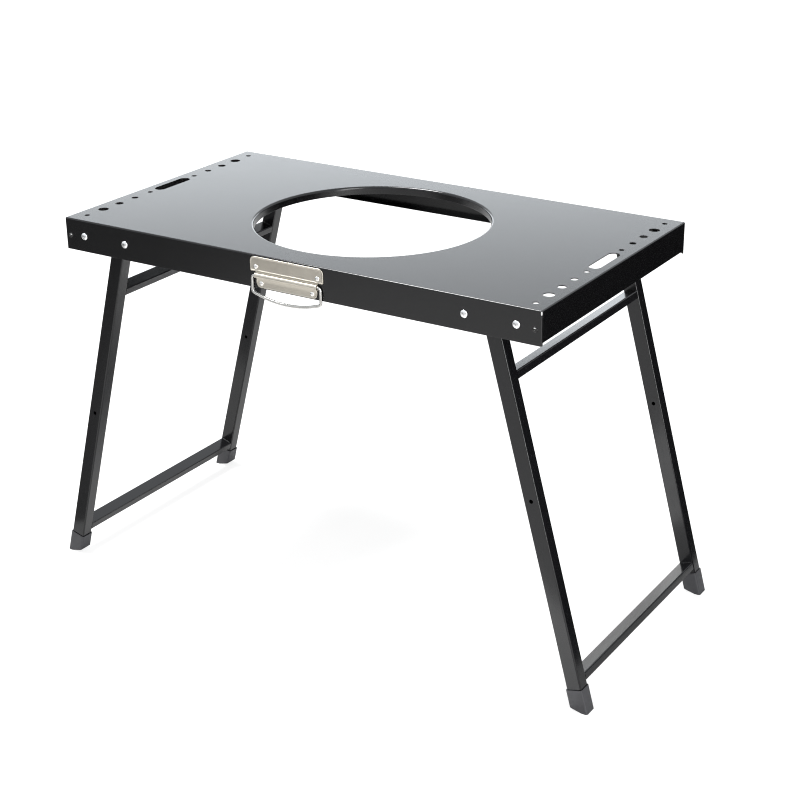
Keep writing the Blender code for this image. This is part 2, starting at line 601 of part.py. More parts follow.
def build_foot(name, end, place_y, floor_z, hinge):
    """Moulded cap pushed over the end of a leg."""
    half = CAP_WIDTH / 2
    top_z, low_z = floor_z + CAP_HEIGHT, floor_z - half * math.tan(SPLAY) - CUT_MARGIN / 2
    body = flat(name, [rectangle(CAP_WIDTH, CAP_THICKNESS, CAP_CORNER_RADIUS)], top_z - low_z)
    foot = part(name, body, CAP_PLASTIC, (0, place_y, (top_z + low_z) / 2), hinge)
    edge = foot.modifiers.new("rounded edge", "BEVEL")
    edge.width = CAP_EDGE
    edge.segments = 2
    edge.limit_method = "ANGLE"
    edge.angle_limit = math.radians(60)
    sole = flat(f"{name}_sole", [foot_outline(end, floor_z)], CAP_THICKNESS + 2 * CUT_MARGIN, ALONG_Y)
    cut(foot, sole, place=(0, place_y, 0), parent=hinge)
    room = rectangle(LEG_WIDTH + 2 * HOLE_CLEARANCE, LEG_THICKNESS + 2 * HOLE_CLEARANCE,
                     LEG_CORNER_RADIUS + HOLE_CLEARANCE)
    socket_low, socket_high = floor_z + TUBE_END_RISE - SEAT_GAP, top_z + CUT_MARGIN
    socket = flat(f"{name}_socket", [room], socket_high - socket_low)
    cut(foot, socket, place=(0, place_y, (socket_low + socket_high) / 2), parent=hinge)


def build_leg(name, end, place_y, along, hinge):
    """Rectangular tube: the left legs have a round nose, and the right ones reach up to their stop."""
    top_z = LEG_WIDTH / 2 if end == LEFT else RIGHT_LEG_ABOVE_PIVOT
    low_z = along(0) + TUBE_END_RISE
    tube = flat(name, tube_outlines(LEG_WIDTH, LEG_THICKNESS, LEG_CORNER_RADIUS), top_z - low_z)
    leg = part(name, tube, FRAME_COAT, (0, place_y, (top_z + low_z) / 2), hinge)
    if end == LEFT:
        nose = arc((0, 0), LEG_WIDTH / 2, NOSE_START, math.pi - NOSE_START, 8)
        shoulder = nose[0][1]
        nose += [(-LEG_WIDTH, shoulder, 0), (-LEG_WIDTH, LEG_WIDTH, 0), (LEG_WIDTH, LEG_WIDTH, 0),
                 (LEG_WIDTH, shoulder, 0)]
        round_off = flat(f"{name}_nose", [nose], 2 * LEG_THICKNESS, ALONG_Y)
        cut(leg, round_off, place=(0, place_y, 0), parent=hinge)
    bore = rods(f"{name}_bore", PIVOT_RADIUS + HOLE_CLEARANCE, 2 * LEG_THICKNESS, [(0, place_y, 0)])
    cut(leg, bore, parent=hinge)
    rise = LEFT_HOLE_RISE if end == LEFT else RIGHT_HOLE_RISE
    hole = rods(f"{name}_hole", LEG_HOLE_RADIUS, 2 * LEG_THICKNESS, [(0, place_y, along(rise))])
    cut(leg, hole, parent=hinge)


def build_frame(end_name):
    """Two legs with their feet and pivot sleeves, and the two crossbars between them."""
    end = ENDS[end_name]
    x, z = pivot_place(end)
    hinge = empty(f"{end_name}_frame_hinge", (x, 0, z), TABLE)
    hinge.rotation_euler = (0, -end * SPLAY, 0)

    def along(height):
        """Where the leg's middle line reaches a height above the floor, measured along the leg."""
        return (height - z) / math.cos(SPLAY)

    sleeve_end = LEG_THICKNESS / 2 - TUBE_WALL - SEAT_GAP
    bore = PIVOT_RADIUS + HOLE_CLEARANCE
    ring = [(bore, -sleeve_end), (SLEEVE_RADIUS, -sleeve_end), (SLEEVE_RADIUS, sleeve_end),
            (bore, sleeve_end), (bore, -sleeve_end)]
    for side_name, side in SIDES.items():
        place_y = side * LEG_MIDDLE_Y
        build_leg(f"leg_{side_name}_{end_name}", end, place_y, along, hinge)
        build_foot(f"foot_{side_name}_{end_name}", end, place_y, along(0), hinge)
        name = f"pivot_sleeve_{side_name}_{end_name}"
        part(name, turned(name, ring, side, 14), ZINC, (0, place_y, 0), hinge)
    bar_length = 2 * (LEG_INNER_Y - SEAT_GAP)
    for which, height in (("upper", TABLE_HEIGHT - UPPER_BAR_DROP), ("lower", LOWER_BAR_RISE)):
        name = f"{which}_crossbar_{end_name}"
        bar = flat(name, tube_outlines(BAR_WIDTH, BAR_HEIGHT, BAR_CORNER_RADIUS), bar_length, ALONG_Y)
        part(name, bar, FRAME_COAT, (0, 0, along(height)), hinge)


def build_handle_plate():
    """Pressed plate with its stiffening ridge and the bead that the bail turns in."""
    upper, lower = UPPER_PLATE_LENGTH / 2, LOWER_PLATE_LENGTH / 2
    top_z = -PLATE_TOP_DROP
    step_z, low_z = top_z - UPPER_PLATE_HEIGHT, top_z - PLATE_HEIGHT
    right = [(lower, low_z, 0), (lower, step_z, 0), (upper, step_z, 0), (upper, top_z, 0)]
    corners = right + [(-x, z, 0) for x, z, _ in reversed(right)]
    radii = [PLATE_CORNER_RADIUS, STEP_INNER_RADIUS, STEP_CORNER_RADIUS, PLATE_CORNER_RADIUS]
    outline = rounded(corners, radii + radii[::-1], steps=5)
    middle_y = PLATE_BACK_Y - PLATE_SHEET / 2
    sheet = flat("handle_plate", [outline], PLATE_SHEET, ALONG_Y)
    plate = part("handle_plate", sheet, NICKEL, (HANDLE_X, middle_y, TABLE_HEIGHT))
    quarter = math.pi / 2
    behind = middle_y - HINGE_Y
    bead = arc((0, 0), BEAD_RADIUS, quarter, 3 * quarter, 10)
    bead += [(behind, -BEAD_RADIUS, 0), (behind, BEAD_RADIUS, 0)]
    wire_line = (HANDLE_X, HINGE_Y, TABLE_HEIGHT - BEAD_DROP)
    cut(plate, flat("bead", [bead], BEAD_LENGTH, ALONG_X), "UNION", wire_line)
    ridge = arc((0, 0), RIDGE_RADIUS, quarter, 3 * quarter, 6)
    ridge_place = (HANDLE_X, middle_y, TABLE_HEIGHT - RIDGE_DROP)
    ridge_length = UPPER_PLATE_LENGTH - 2 * STEP_CORNER_RADIUS
    cut(plate, flat("ridge", [ridge], ridge_length, ALONG_X), "UNION", ridge_place)
    channel = arc((0, 0), WIRE_RADIUS + WIRE_PLAY, quarter, 3 * quarter, 8)
    channel += [(WIRE_RADIUS + CUT_MARGIN, -channel[0][1], 0), (WIRE_RADIUS + CUT_MARGIN, channel[0][1], 0)]
    cut(plate, flat("channel", [channel], BEAD_LENGTH + 2 * CUT_MARGIN, ALONG_X), place=wire_line)
    holes = [(x, middle_y, z) for x, z in handle_rivet_places().values()]
    cut(plate, rods("plate_rivet_holes", HANDLE_RIVET_RADIUS + HOLE_CLEARANCE, 2 * CUT_MARGIN, holes))


def build_handle_rivets():
    """Domed rivets through the plate and the front skirt, closed on the inside."""
    grip = PLATE_SHEET + SHEET + 2 * SEAT_GAP
    tail = grip + HANDLE_RIVET_TAIL_LENGTH
    profile = [(0, -tail), (HANDLE_RIVET_TAIL_RADIUS * TAIL_TIP_SHARE, -tail),
               (HANDLE_RIVET_TAIL_RADIUS, -tail + HANDLE_RIVET_TAIL_LENGTH / 2),
               (HANDLE_RIVET_TAIL_RADIUS, -grip), (HANDLE_RIVET_RADIUS, -grip),
               (HANDLE_RIVET_RADIUS, SEAT_GAP)]
    profile += dome(HANDLE_RIVET_HEAD_RADIUS, SEAT_GAP, HANDLE_RIVET_HEAD_HEIGHT)
    for row, (x, z) in handle_rivet_places().items():
        name = f"handle_rivet_{row}"
        part(name, turned(name, profile, FRONT), NICKEL, (x, PLATE_BACK_Y - PLATE_SHEET, z))


def build_bail():
    """Wire bail: its ends turn inside the bead, and its grip bows downwards."""
    arm_x = BEAD_LENGTH / 2 + BAIL_END_GAP + BAIL_TOP_RADIUS
    bow_radius = (arm_x ** 2 + BAIL_BOW ** 2) / (2 * BAIL_BOW)
    reach = math.asin(arm_x / bow_radius)
    centre_z = bow_radius - BAIL_DROP - BAIL_BOW
    count = 12
    angles = [reach * (1 - 2 * step / count) for step in range(count + 1)]
    bow = [(bow_radius * math.sin(a), 0, centre_z - bow_radius * math.cos(a)) for a in angles]
    tail_x = BEAD_LENGTH / 2 - BAIL_TAIL
    corners = [(tail_x, 0, 0), (arm_x, 0, 0)] + bow + [(-arm_x, 0, 0), (-tail_x, 0, 0)]
    radii = [0, BAIL_TOP_RADIUS, BAIL_CORNER_RADIUS] + [0] * (count - 1)
    radii += [BAIL_CORNER_RADIUS, BAIL_TOP_RADIUS, 0]
    wire = curve_mesh("handle_bail", [rounded(corners, radii, steps=4)], False, dimensions="3D",
                      bevel_depth=WIRE_RADIUS, bevel_resolution=2, use_fill_caps=True)
    part("handle_bail", wire, NICKEL, (HANDLE_X, HINGE_Y, TABLE_HEIGHT - BEAD_DROP))


build_top()
build_corner_rivets()
build_bracket_screws()
for one_side in SIDES:
    for one_end in ENDS:
        build_bracket(one_side, one_end)
        build_pivot(one_side, one_end)
for one_end in ENDS:
    build_frame(one_end)
build_handle_plate()
build_handle_rivets()
build_bail()
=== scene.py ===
import json
import math
import random

import bmesh
import bpy
from mathutils import Matrix, Vector

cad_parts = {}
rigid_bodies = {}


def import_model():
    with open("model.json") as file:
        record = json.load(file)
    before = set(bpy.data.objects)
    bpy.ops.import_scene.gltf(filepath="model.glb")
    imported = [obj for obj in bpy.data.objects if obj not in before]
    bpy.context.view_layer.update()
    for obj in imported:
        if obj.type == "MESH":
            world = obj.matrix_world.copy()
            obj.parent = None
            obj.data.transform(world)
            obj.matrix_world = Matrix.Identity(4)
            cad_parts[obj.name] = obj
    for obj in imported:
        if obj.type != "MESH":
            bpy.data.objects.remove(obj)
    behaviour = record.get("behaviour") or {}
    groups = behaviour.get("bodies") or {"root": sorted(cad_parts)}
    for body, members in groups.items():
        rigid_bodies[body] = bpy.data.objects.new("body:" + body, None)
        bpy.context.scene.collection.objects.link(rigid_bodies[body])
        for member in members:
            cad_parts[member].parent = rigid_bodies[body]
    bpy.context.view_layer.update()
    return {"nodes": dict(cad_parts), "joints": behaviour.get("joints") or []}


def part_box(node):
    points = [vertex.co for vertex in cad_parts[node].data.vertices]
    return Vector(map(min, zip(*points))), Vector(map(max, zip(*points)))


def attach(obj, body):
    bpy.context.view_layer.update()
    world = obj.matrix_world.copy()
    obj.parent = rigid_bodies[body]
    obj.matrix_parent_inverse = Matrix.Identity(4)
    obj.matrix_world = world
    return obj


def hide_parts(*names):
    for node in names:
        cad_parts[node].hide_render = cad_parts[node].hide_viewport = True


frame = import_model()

# Pressed steel top. One 1.2 mm sheet with four skirts folded down, the lower edges of the long ones turned
# inwards, the rim of the stove hole turned down, and hand slots and tool holes punched. Tabs of the end
# skirts lie behind the long ones, where the corner rivets hold them. It has a satin black powder coat.
TOP_LOW, TOP_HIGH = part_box("table_top")
TOP_MIDDLE = Vector(((TOP_LOW.x + TOP_HIGH.x) / 2, (TOP_LOW.y + TOP_HIGH.y) / 2, TOP_HIGH.z))
HALF_LENGTH = (TOP_HIGH.x - TOP_LOW.x) / 2
HALF_DEPTH = (TOP_HIGH.y - TOP_LOW.y) / 2
SKIRT_DEPTH = TOP_HIGH.z - TOP_LOW.z
END_SKIRT_RISE = 0.004
END_SKIRT_DEPTH = SKIRT_DEPTH - END_SKIRT_RISE
SHEET = 0.0012
FOLD = 0.0022
EDGE = 0.0003
PUNCHED_EDGE = 0.0001
SEAM_FROM_FOLD = 0.0009
SEAM_HALF_WIDTH = 0.00025
SEAM_DEPTH = 0.0006
HOLE_RADIUS = 0.175
RIM_BEND = 0.0035
RIM_DEPTH = 0.012
RIM_SIDES = 192
LINE_FROM_END = 0.022
LINE_X = HALF_LENGTH - LINE_FROM_END
SLOT_RADIUS = 0.00875
SLOT_STRAIGHT = 0.02925
# Each tool hole's distance from the middle line, and its diameter
TOOL_HOLES = ((0.198, 0.0083), (0.162, 0.016), (0.126, 0.0125), (0.090, 0.0103), (0.054, 0.0083))
TAB_LENGTH = 0.022
TAB_MARGIN = 0.004
TAB_GAP = 0.0003
RETURN_WIDTH = 0.013
RETURN_HALF_LENGTH = 0.2737
BEND_STEPS = 8
SLOT_END_STEPS = 16
TOOL_HOLE_SIDES = 32
WELD_DISTANCE = 0.000004
SHARP_FROM = math.radians(35)
QUARTER = math.pi / 2
ENDS = (("left", -1), ("right", 1))


def steps(first, last, count):
    """Evenly spaced numbers, both ends among them."""
    return [first + (last - first) * number / count for number in range(count + 1)]


def circle(x, y, radius, sides):
    """Points around a circle."""
    return [(x + radius * math.cos(a), y + radius * math.sin(a)) for a in steps(0, math.tau, sides)[:-1]]


def stadium(x, y, radius, straight):
    """Points around a slot with round ends, its length along Y."""
    ends = ((straight, 0), (-straight, math.pi))
    return [(x + radius * math.cos(start + a), y + reach + radius * math.sin(start + a))
            for reach, start in ends for a in steps(0, math.pi, SLOT_END_STEPS)]


def curve_mesh(splines, closed, **settings):
    """The mesh of a curve through lists of points, with the settings that fill or bevel it."""
    curve = bpy.data.curves.new("guide", "CURVE")
    for setting, value in settings.items():
        setattr(curve, setting, value)
    for points in splines:
        spline = curve.splines.new("POLY")
        spline.points.add(len(points) - 1)
        for target, point in zip(spline.points, points):
            target.co = Vector(point).to_4d()
        spline.use_cyclic_u = closed
    guide = bpy.data.objects.new("guide", curve)
    bpy.context.scene.collection.objects.link(guide)
    mesh = bpy.data.meshes.new_from_object(guide.evaluated_get(bpy.context.evaluated_depsgraph_get()))
    bpy.data.objects.remove(guide)
    return mesh


def loft(bm, rings):
    """Faces between closed rings of equally many points."""
    rows = [[bm.verts.new(point) for point in ring] for ring in rings]
    count = len(rows[0])
    for near, far in zip(rows, rows[1:]):
        for here in range(count):
            after = (here + 1) % count
            bm.faces.new((near[here], near[after], far[after], far[here]))
    return rows


def capped_loft(bm, rings):
    """A loft with a face over its first ring and its last."""
    rows = loft(bm, rings)
    bm.faces.new(rows[0])
    bm.faces.new(rows[-1])


def mesh_from(name, build):
    """Runs a function that fills a bmesh, welds it and turns its faces outwards."""
    bm = bmesh.new()
    build(bm)
    bmesh.ops.remove_doubles(bm, verts=bm.verts, dist=WELD_DISTANCE)
    bmesh.ops.dissolve_degenerate(bm, edges=bm.edges, dist=WELD_DISTANCE)
    bmesh.ops.recalc_face_normals(bm, faces=bm.faces)
    mesh = bpy.data.meshes.new(name)
    bm.to_mesh(mesh)
    bm.free()
    return mesh


def show(mesh, material, body, slot, *nodes):
    """Puts a finished mesh in the scene; it stands for its CAD nodes and rides on their body."""
    piece = bpy.data.objects.new(mesh.name, mesh)
    bpy.context.scene.collection.objects.link(piece)
    mesh.materials.clear()
    mesh.materials.append(material)
    mesh.shade_smooth()
    mesh.set_sharp_from_angle(angle=SHARP_FROM)
    shading = piece.modifiers.new("even shading", "WEIGHTED_NORMAL")
    shading.keep_sharp = True
    shading.weight = 100
    if nodes:
        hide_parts(*nodes)
    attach(piece, body)
    return piece


# A cut edge, as shares of its radius: how far it stands back from one face and from the other
SOFT_EDGE = [(1 - math.sin(a), 1 - math.cos(a)) for a in steps(0, QUARTER, 3)]


def skirt_rows(depth):
    """Section of the sheet from the plate out over the fold, down the skirt and back up inside."""
    fold = steps(0, QUARTER, BEND_STEPS)
    rows = [(FOLD * math.sin(a), FOLD * (math.cos(a) - 1), math.sin(a)) for a in fold]
    rows += [(FOLD, EDGE - END_SKIRT_DEPTH, 1)]
    rows += [(FOLD - EDGE * v, EDGE * u - depth, 1) for u, v in SOFT_EDGE]
    inside = FOLD - SHEET
    rows += [(inside + EDGE * v, EDGE * u - depth, 0) for u, v in reversed(SOFT_EDGE)]
    rows += [(inside, EDGE - END_SKIRT_DEPTH, 0)]
    rows += [(inside * math.sin(a), inside * math.cos(a) - FOLD, 0) for a in reversed(fold)]
    return rows


def skirt_columns():
    """Places around the plate as (base point, direction, section, groove): a fan at each corner."""
    long_rows, end_rows = skirt_rows(SKIRT_DEPTH), skirt_rows(END_SKIRT_DEPTH)
    columns = []
    for x_side, y_side, start in ((1, 1, 0), (-1, 1, 1), (-1, -1, 2), (1, -1, 3)):
        base = Vector((x_side * (HALF_LENGTH - FOLD), y_side * (HALF_DEPTH - FOLD), 0))
        fan = [(base, angle, long_rows, 0)
               for angle in steps(start * QUARTER, (start + 1) * QUARTER, BEND_STEPS)]
        away = Vector((0, -y_side, 0))
        facing = 0 if x_side > 0 else math.pi
        seam = [(base + away * (SEAM_FROM_FOLD + SEAM_HALF_WIDTH * step), facing, long_rows, depth)
                for step, depth in ((-1, 0), (0, SEAM_DEPTH), (1, 0))]
        last = base + away * (SEAM_FROM_FOLD + 2 * SEAM_HALF_WIDTH)
        seam += [(last, facing, long_rows, 0), (last, facing, end_rows, 0)]
        columns += fan + seam if x_side * y_side < 0 else seam[::-1] + fan
    return columns


def soft_strip(bm, size, place):
    """A strip of sheet with softened edges."""
    matrix = Matrix.Translation(place) @ Matrix.Diagonal((*size, 1))
    strip = bmesh.ops.create_cube(bm, size=1, matrix=matrix)
    edges = list({edge for vert in strip["verts"] for edge in vert.link_edges})
    bmesh.ops.bevel(bm, geom=edges, offset=EDGE, segments=2, profile=0.5, affect="EDGES")


def punched_outlines(offset):
    """Outlines of the hand slots and the tool holes, widened by a distance."""
    outlines = []
    for _, end in ENDS:
        outlines.append(stadium(end * LINE_X, 0, SLOT_RADIUS + offset, SLOT_STRAIGHT))
        for y, diameter in TOOL_HOLES:
            for side in (-1, 1):
                outlines.append(circle(end * LINE_X, side * y, diameter / 2 + offset, TOOL_HOLE_SIDES))
    return outlines


def add_plate(bm, outline):
    """Both faces of the plate and the walls of what is punched in it."""
    stove_hole = circle(0, 0, HOLE_RADIUS + RIM_BEND, RIM_SIDES)
    outlines = [outline, stove_hole] + punched_outlines(PUNCHED_EDGE)
    plate = curve_mesh(outlines, True, dimensions="2D", fill_mode="BOTH")
    bm.from_mesh(plate)
    plate.transform(Matrix.Translation((0, 0, -SHEET)))
    bm.from_mesh(plate)
    wall = [(PUNCHED_EDGE * u, -PUNCHED_EDGE * v) for u, v in SOFT_EDGE]
    wall += [(PUNCHED_EDGE * u, PUNCHED_EDGE * v - SHEET) for u, v in reversed(SOFT_EDGE)]
    widened = [punched_outlines(offset) for offset, _ in wall]
    for rings in zip(*widened):
        loft(bm, [[(x, y, z) for x, y in ring] for ring, (_, z) in zip(rings, wall)])


def add_rim(bm):
    """The rim of the stove hole, bent down from the plate and back up on its hidden face."""
    bend = steps(0, QUARTER, BEND_STEPS)
    centre, inner = HOLE_RADIUS + RIM_BEND, RIM_BEND - SHEET
    rim = [(centre - RIM_BEND * math.sin(a), RIM_BEND * (math.cos(a) - 1)) for a in bend]
    rim += [(HOLE_RADIUS + EDGE * v, EDGE * u - RIM_DEPTH) for u, v in SOFT_EDGE]
    rim += [(HOLE_RADIUS + SHEET - EDGE * v, EDGE * u - RIM_DEPTH) for u, v in reversed(SOFT_EDGE)]
    rim += [(centre - inner * math.sin(a), inner * math.cos(a) - RIM_BEND) for a in reversed(bend)]
    loft(bm, [[(x, y, z) for x, y in circle(0, 0, radius, RIM_SIDES)] for radius, z in rim])


def add_skirts(bm, columns):
    """The four skirts and their corners, one ring of points for each row of the section."""
    rings = []
    for row in range(len(columns[0][2])):
        ring = []
        for base, angle, rows, groove in columns:
            out, height, share = rows[row]
            out -= groove * share
            ring.append(base + Vector((out * math.cos(angle), out * math.sin(angle), height)))
        rings.append(ring)
    loft(bm, rings)


def add_strips(bm):
    """The corner tabs of the end skirts, and the lower edges of the long skirts, turned inwards."""
    height = END_SKIRT_DEPTH - 2 * TAB_MARGIN
    width = RETURN_WIDTH + SHEET / 2
    for y_side in (-1, 1):
        for x_side in (-1, 1):
            place = (x_side * (HALF_LENGTH - SHEET / 2 - TAB_LENGTH / 2),
                     y_side * (HALF_DEPTH - SHEET - TAB_GAP - SHEET / 2), -TAB_MARGIN - height / 2)
            soft_strip(bm, (TAB_LENGTH, SHEET, height), place)
        place = (0, y_side * (HALF_DEPTH - SHEET - RETURN_WIDTH + width / 2), SHEET / 2 - SKIRT_DEPTH)
        soft_strip(bm, (2 * RETURN_HALF_LENGTH, width, SHEET), place)


def build_top(bm):
    """The whole sheet in one mesh, with the middle of its upper face at the origin."""
    columns = skirt_columns()
    outline = []
    for base, *_ in columns:
        if not outline or (Vector(outline[-1]) - base.xy).length > EDGE / 100:
            outline.append(tuple(base.xy))
    add_plate(bm, outline)
    add_rim(bm)
    add_skirts(bm, columns)
    add_strips(bm)


class Wire:
    """A socket of a material's nodes, so that shader maths reads as Python."""

    def __init__(self, tree, socket=None):
        self.tree = tree
        self.socket = socket

    def node(self, kind, inputs=None, output=0, **settings):
        """Adds any node: its settings first, then the values or links of its sockets."""
        made = self.tree.nodes.new(kind)
        for setting, value in settings.items():
            setattr(made, setting, value)
        for key, value in (inputs or {}).items():
            if isinstance(value, Wire):
                self.tree.links.new(value.socket, made.inputs[key])
            else:
                made.inputs[key].default_value = value
        return Wire(self.tree, made.outputs[output])

    def maths(self, operation, *values):
        """A Math node on wires and numbers."""
        return self.node("ShaderNodeMath", dict(enumerate(values)), operation=operation)

    def __add__(self, other):
        return self.maths("ADD", self, other)

    def __radd__(self, other):
        return self.maths("ADD", other, self)

    def __sub__(self, other):
        return self.maths("SUBTRACT", self, other)

    def __rsub__(self, other):
        return self.maths("SUBTRACT", other, self)

    def __mul__(self, other):
        return self.maths("MULTIPLY", self, other)

    def __rmul__(self, other):
        return self.maths("MULTIPLY", other, self)

    def mix(self, low, high):
        """The colour between two colours that this wire chooses."""
        return self.node("ShaderNodeMix", {0: self, 6: low, 7: high}, output=2, data_type="RGBA")

    def noise(self, scale, detail=2.0, roughness=0.5, stretch=None):
        """Noise at this wire's place, 0.5 on average; stretch scales the place along each axis first."""
        place = self
        if stretch:
            place = self.node("ShaderNodeVectorMath", {0: self, 1: stretch}, operation="MULTIPLY")
        settings = {"Vector": place, "Scale": scale, "Detail": detail, "Roughness": roughness}
        return self.node("ShaderNodeTexNoise", settings)

    def bump(self, distance, strength=1.0, below=None):
        """A bump from this wire's height, on top of another bump if there is one."""
        inputs = {"Height": self, "Distance": distance, "Strength": strength}
        if below:
            inputs["Normal"] = below
        return self.node("ShaderNodeBump", inputs)

    def feed(self, shader, socket):
        """Links this wire to the shader's socket."""
        self.tree.links.new(self.socket, shader.inputs[socket])


def start_material(name, **constants):
    """A material's Principled shader with its constant values, and the place on the piece in metres."""
    material = bpy.data.materials.new(name)
    material.use_nodes = True
    shader = material.node_tree.nodes["Principled BSDF"]
    for socket, value in constants.items():
        shader.inputs[socket.replace("_", " ")].default_value = value
    place = Wire(material.node_tree).node("ShaderNodeTexCoord", output="Object")
    return material, shader, place


# Light grey painted on a chipped spot: it stands in for the glint on the front right corner
CHIP_AND_GLINT_GREY = (0.70, 0.70, 0.70, 1)
RUBBED_GLOSS = 0.13


def powder_coat(name, dark, light, roughness, peel, index=1.52, rubbed=None, chip_and_glint=None):
    """Powder coat: fine orange peel, faint cloudiness, glossier where rubbed, and light grey on a chipped
    spot that is painted there as a glint.
    """
    material, shader, place = start_material(name, IOR=index)
    cloud = place.noise(14.0, 3.0)
    fine = place.noise(1100.0, 2.0, 0.6)
    colour = cloud.mix((*dark, 1), (*light, 1))
    if chip_and_glint:
        colour = chip_and_glint(place).mix(colour, CHIP_AND_GLINT_GREY)
    colour.feed(shader, "Base Color")
    gloss = roughness - 0.03 + 0.02 * cloud + 0.04 * fine
    if rubbed:
        gloss = gloss - RUBBED_GLOSS * rubbed(place)
    gloss.feed(shader, "Roughness")
    swell = place.noise(5.0, 1.0).bump(0.0003, 0.4)
    fine.bump(peel, 1.0, swell).feed(shader, "Normal")
    return material


# Heights between which the gloss of a bend comes in from below and goes out towards the flat of the top
GLOSS_COMES = (TOP_MIDDLE.z - FOLD - 0.0004, TOP_MIDDLE.z - FOLD + 0.0002)
GLOSS_GOES = (TOP_MIDDLE.z - 0.0002, TOP_MIDDLE.z - 0.00004)


def along_bends(place):
    """1 where the sheet is bent: along the folds and the hole's rim, and down the four corners."""
    height = place.node("ShaderNodeSeparateXYZ", {"Vector": place}, output=2)
    band = {"Value": height, "From Min": GLOSS_COMES[0], "From Max": GLOSS_COMES[1]}
    level = {"Value": height, "From Min": GLOSS_GOES[0], "From Max": GLOSS_GOES[1]}
    bend = height.node("ShaderNodeMapRange", band) * (1 - height.node("ShaderNodeMapRange", level))
    ends = []
    for axis, middle, edge in ((0, TOP_MIDDLE.x, HALF_LENGTH - FOLD), (1, TOP_MIDDLE.y, HALF_DEPTH - FOLD)):
        across = place.node("ShaderNodeSeparateXYZ", {"Vector": place}, output=axis) - middle
        away = across.maths("ABSOLUTE", across)
        ends.append(away.maths("GREATER_THAN", away, edge))
    return bend.maths("MAXIMUM", bend, ends[0] * ends[1])


# Size and place of the chipped spot that is painted light grey as the corner's glint
CHIP_GLINT_INSET, CHIP_GLINT_DROP = 0.0004, 0.0034
CHIP_GLINT_SQUASH = 0.42
CHIP_GLINT_OUTSIDE, CHIP_GLINT_INSIDE = 0.0018, 0.0014
CHIP_GLINT_RAGGEDNESS = 0.0008


def corner_chip_and_glint(place):
    """1 on the front right corner just under the top: a chip to the steel, painted light grey to stand in for
    the corner's glint.
    """
    spot = TOP_MIDDLE + Vector((HALF_LENGTH - CHIP_GLINT_INSET, CHIP_GLINT_INSET - HALF_DEPTH, -CHIP_GLINT_DROP))
    squash = {0: place, 1: (1.0, 1.0, CHIP_GLINT_SQUASH)}
    squashed = place.node("ShaderNodeVectorMath", squash, operation="MULTIPLY")
    ends = {0: squashed, 1: (spot.x, spot.y, CHIP_GLINT_SQUASH * spot.z)}
    away = squashed.node("ShaderNodeVectorMath", ends, output=1, operation="DISTANCE")
    ragged = away + CHIP_GLINT_RAGGEDNESS * place.noise(900.0, 2.0)
    edge = {"Value": ragged, "From Min": CHIP_GLINT_OUTSIDE, "From Max": CHIP_GLINT_INSIDE}
    return ragged.node("ShaderNodeMapRange", edge)


# The coat gets a light grey chipped spot at the front right corner. It is a painted stand-in for the glint
# there.
TOP_COAT = powder_coat(
    "satin black powder coat",
    dark=(0.0028, 0.0028, 0.0032),
    light=(0.0042, 0.0042, 0.0048),
    roughness=0.25,
    peel=0.00001,
    rubbed=along_bends,
    chip_and_glint=corner_chip_and_glint,
)
top_mesh = mesh_from("pressed_top", build_top)
top_mesh.transform(Matrix.Translation(TOP_MIDDLE))
show(top_mesh, TOP_COAT, "table", "powder_coat", "table_top")

# Corner rivets. Black blind rivets of 3.6 mm, set from outside through each long skirt and the tab behind
# it. The head is a low dome with the broken mandrel sunk in its middle, and the tail is a bulb inside.
FACES = {"front": (-1, TOP_LOW.y), "back": (1, TOP_HIGH.y)}
CORNERS = [(side, end) for side in FACES for end, _ in ENDS]


def turned(profile, facing, sides=40):
    """A mesh turned about Y from (radius, height) points; its height runs out along Y."""
    def build(bm):
        angles = steps(0, math.tau, sides)[:-1]
        loft(bm, [[(radius * math.cos(a), facing * height, radius * math.sin(a)) for a in angles]
                  for radius, height in profile])
    return mesh_from("turned", build)


def dome(radius, height, dimple, floor):
    """Profile over a domed head, then down into a dimple and across its floor."""
    over = steps(0, math.acos(dimple / radius), 8)
    points = [(radius * math.cos(a), height * math.sin(a)) for a in over]
    lip = points[-1][1]
    points += [(dimple * 0.93, lip - 0.0001), (dimple * 0.86, floor + 0.0001), (dimple * 0.6, floor)]
    return points + [(0, floor)]


def placed(mesh, name, matrix):
    """A named copy of a mesh, moved by a matrix."""
    copy = mesh.copy()
    copy.name = name
    copy.transform(matrix)
    return copy


def on_skirt(node, face):
    """The point on the skirt's face that a fastener's axis goes through."""
    low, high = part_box(node)
    return Matrix.Translation(((low.x + high.x) / 2, face, (low.z + high.z) / 2))


RIVET_COAT = powder_coat(
    "black rivet paint",
    dark=(0.003, 0.003, 0.003),
    light=(0.005, 0.005, 0.005),
    roughness=0.12,
    peel=0.000002,
    index=1.45,
)
CORNER_RIVET = [(0, -0.0058), (0.0013, -0.0058), (0.0024, -0.0050), (0.0027, -0.0040), (0.0025, -0.0031),
                (0.0018, -0.0029), (0.0018, 0), (0.0039, 0)]
CORNER_RIVET += dome(0.0040, 0.0019, 0.0008, 0.0013)
for side, end in CORNERS:
    facing, face = FACES[side]
    node = f"corner_rivet_{side}_{end}"
    rivet = placed(turned(CORNER_RIVET, facing), f"blind_rivet_{side}_{end}", on_skirt(node, face))
    show(rivet, RIVET_COAT, "table", "rivet_coat", node)


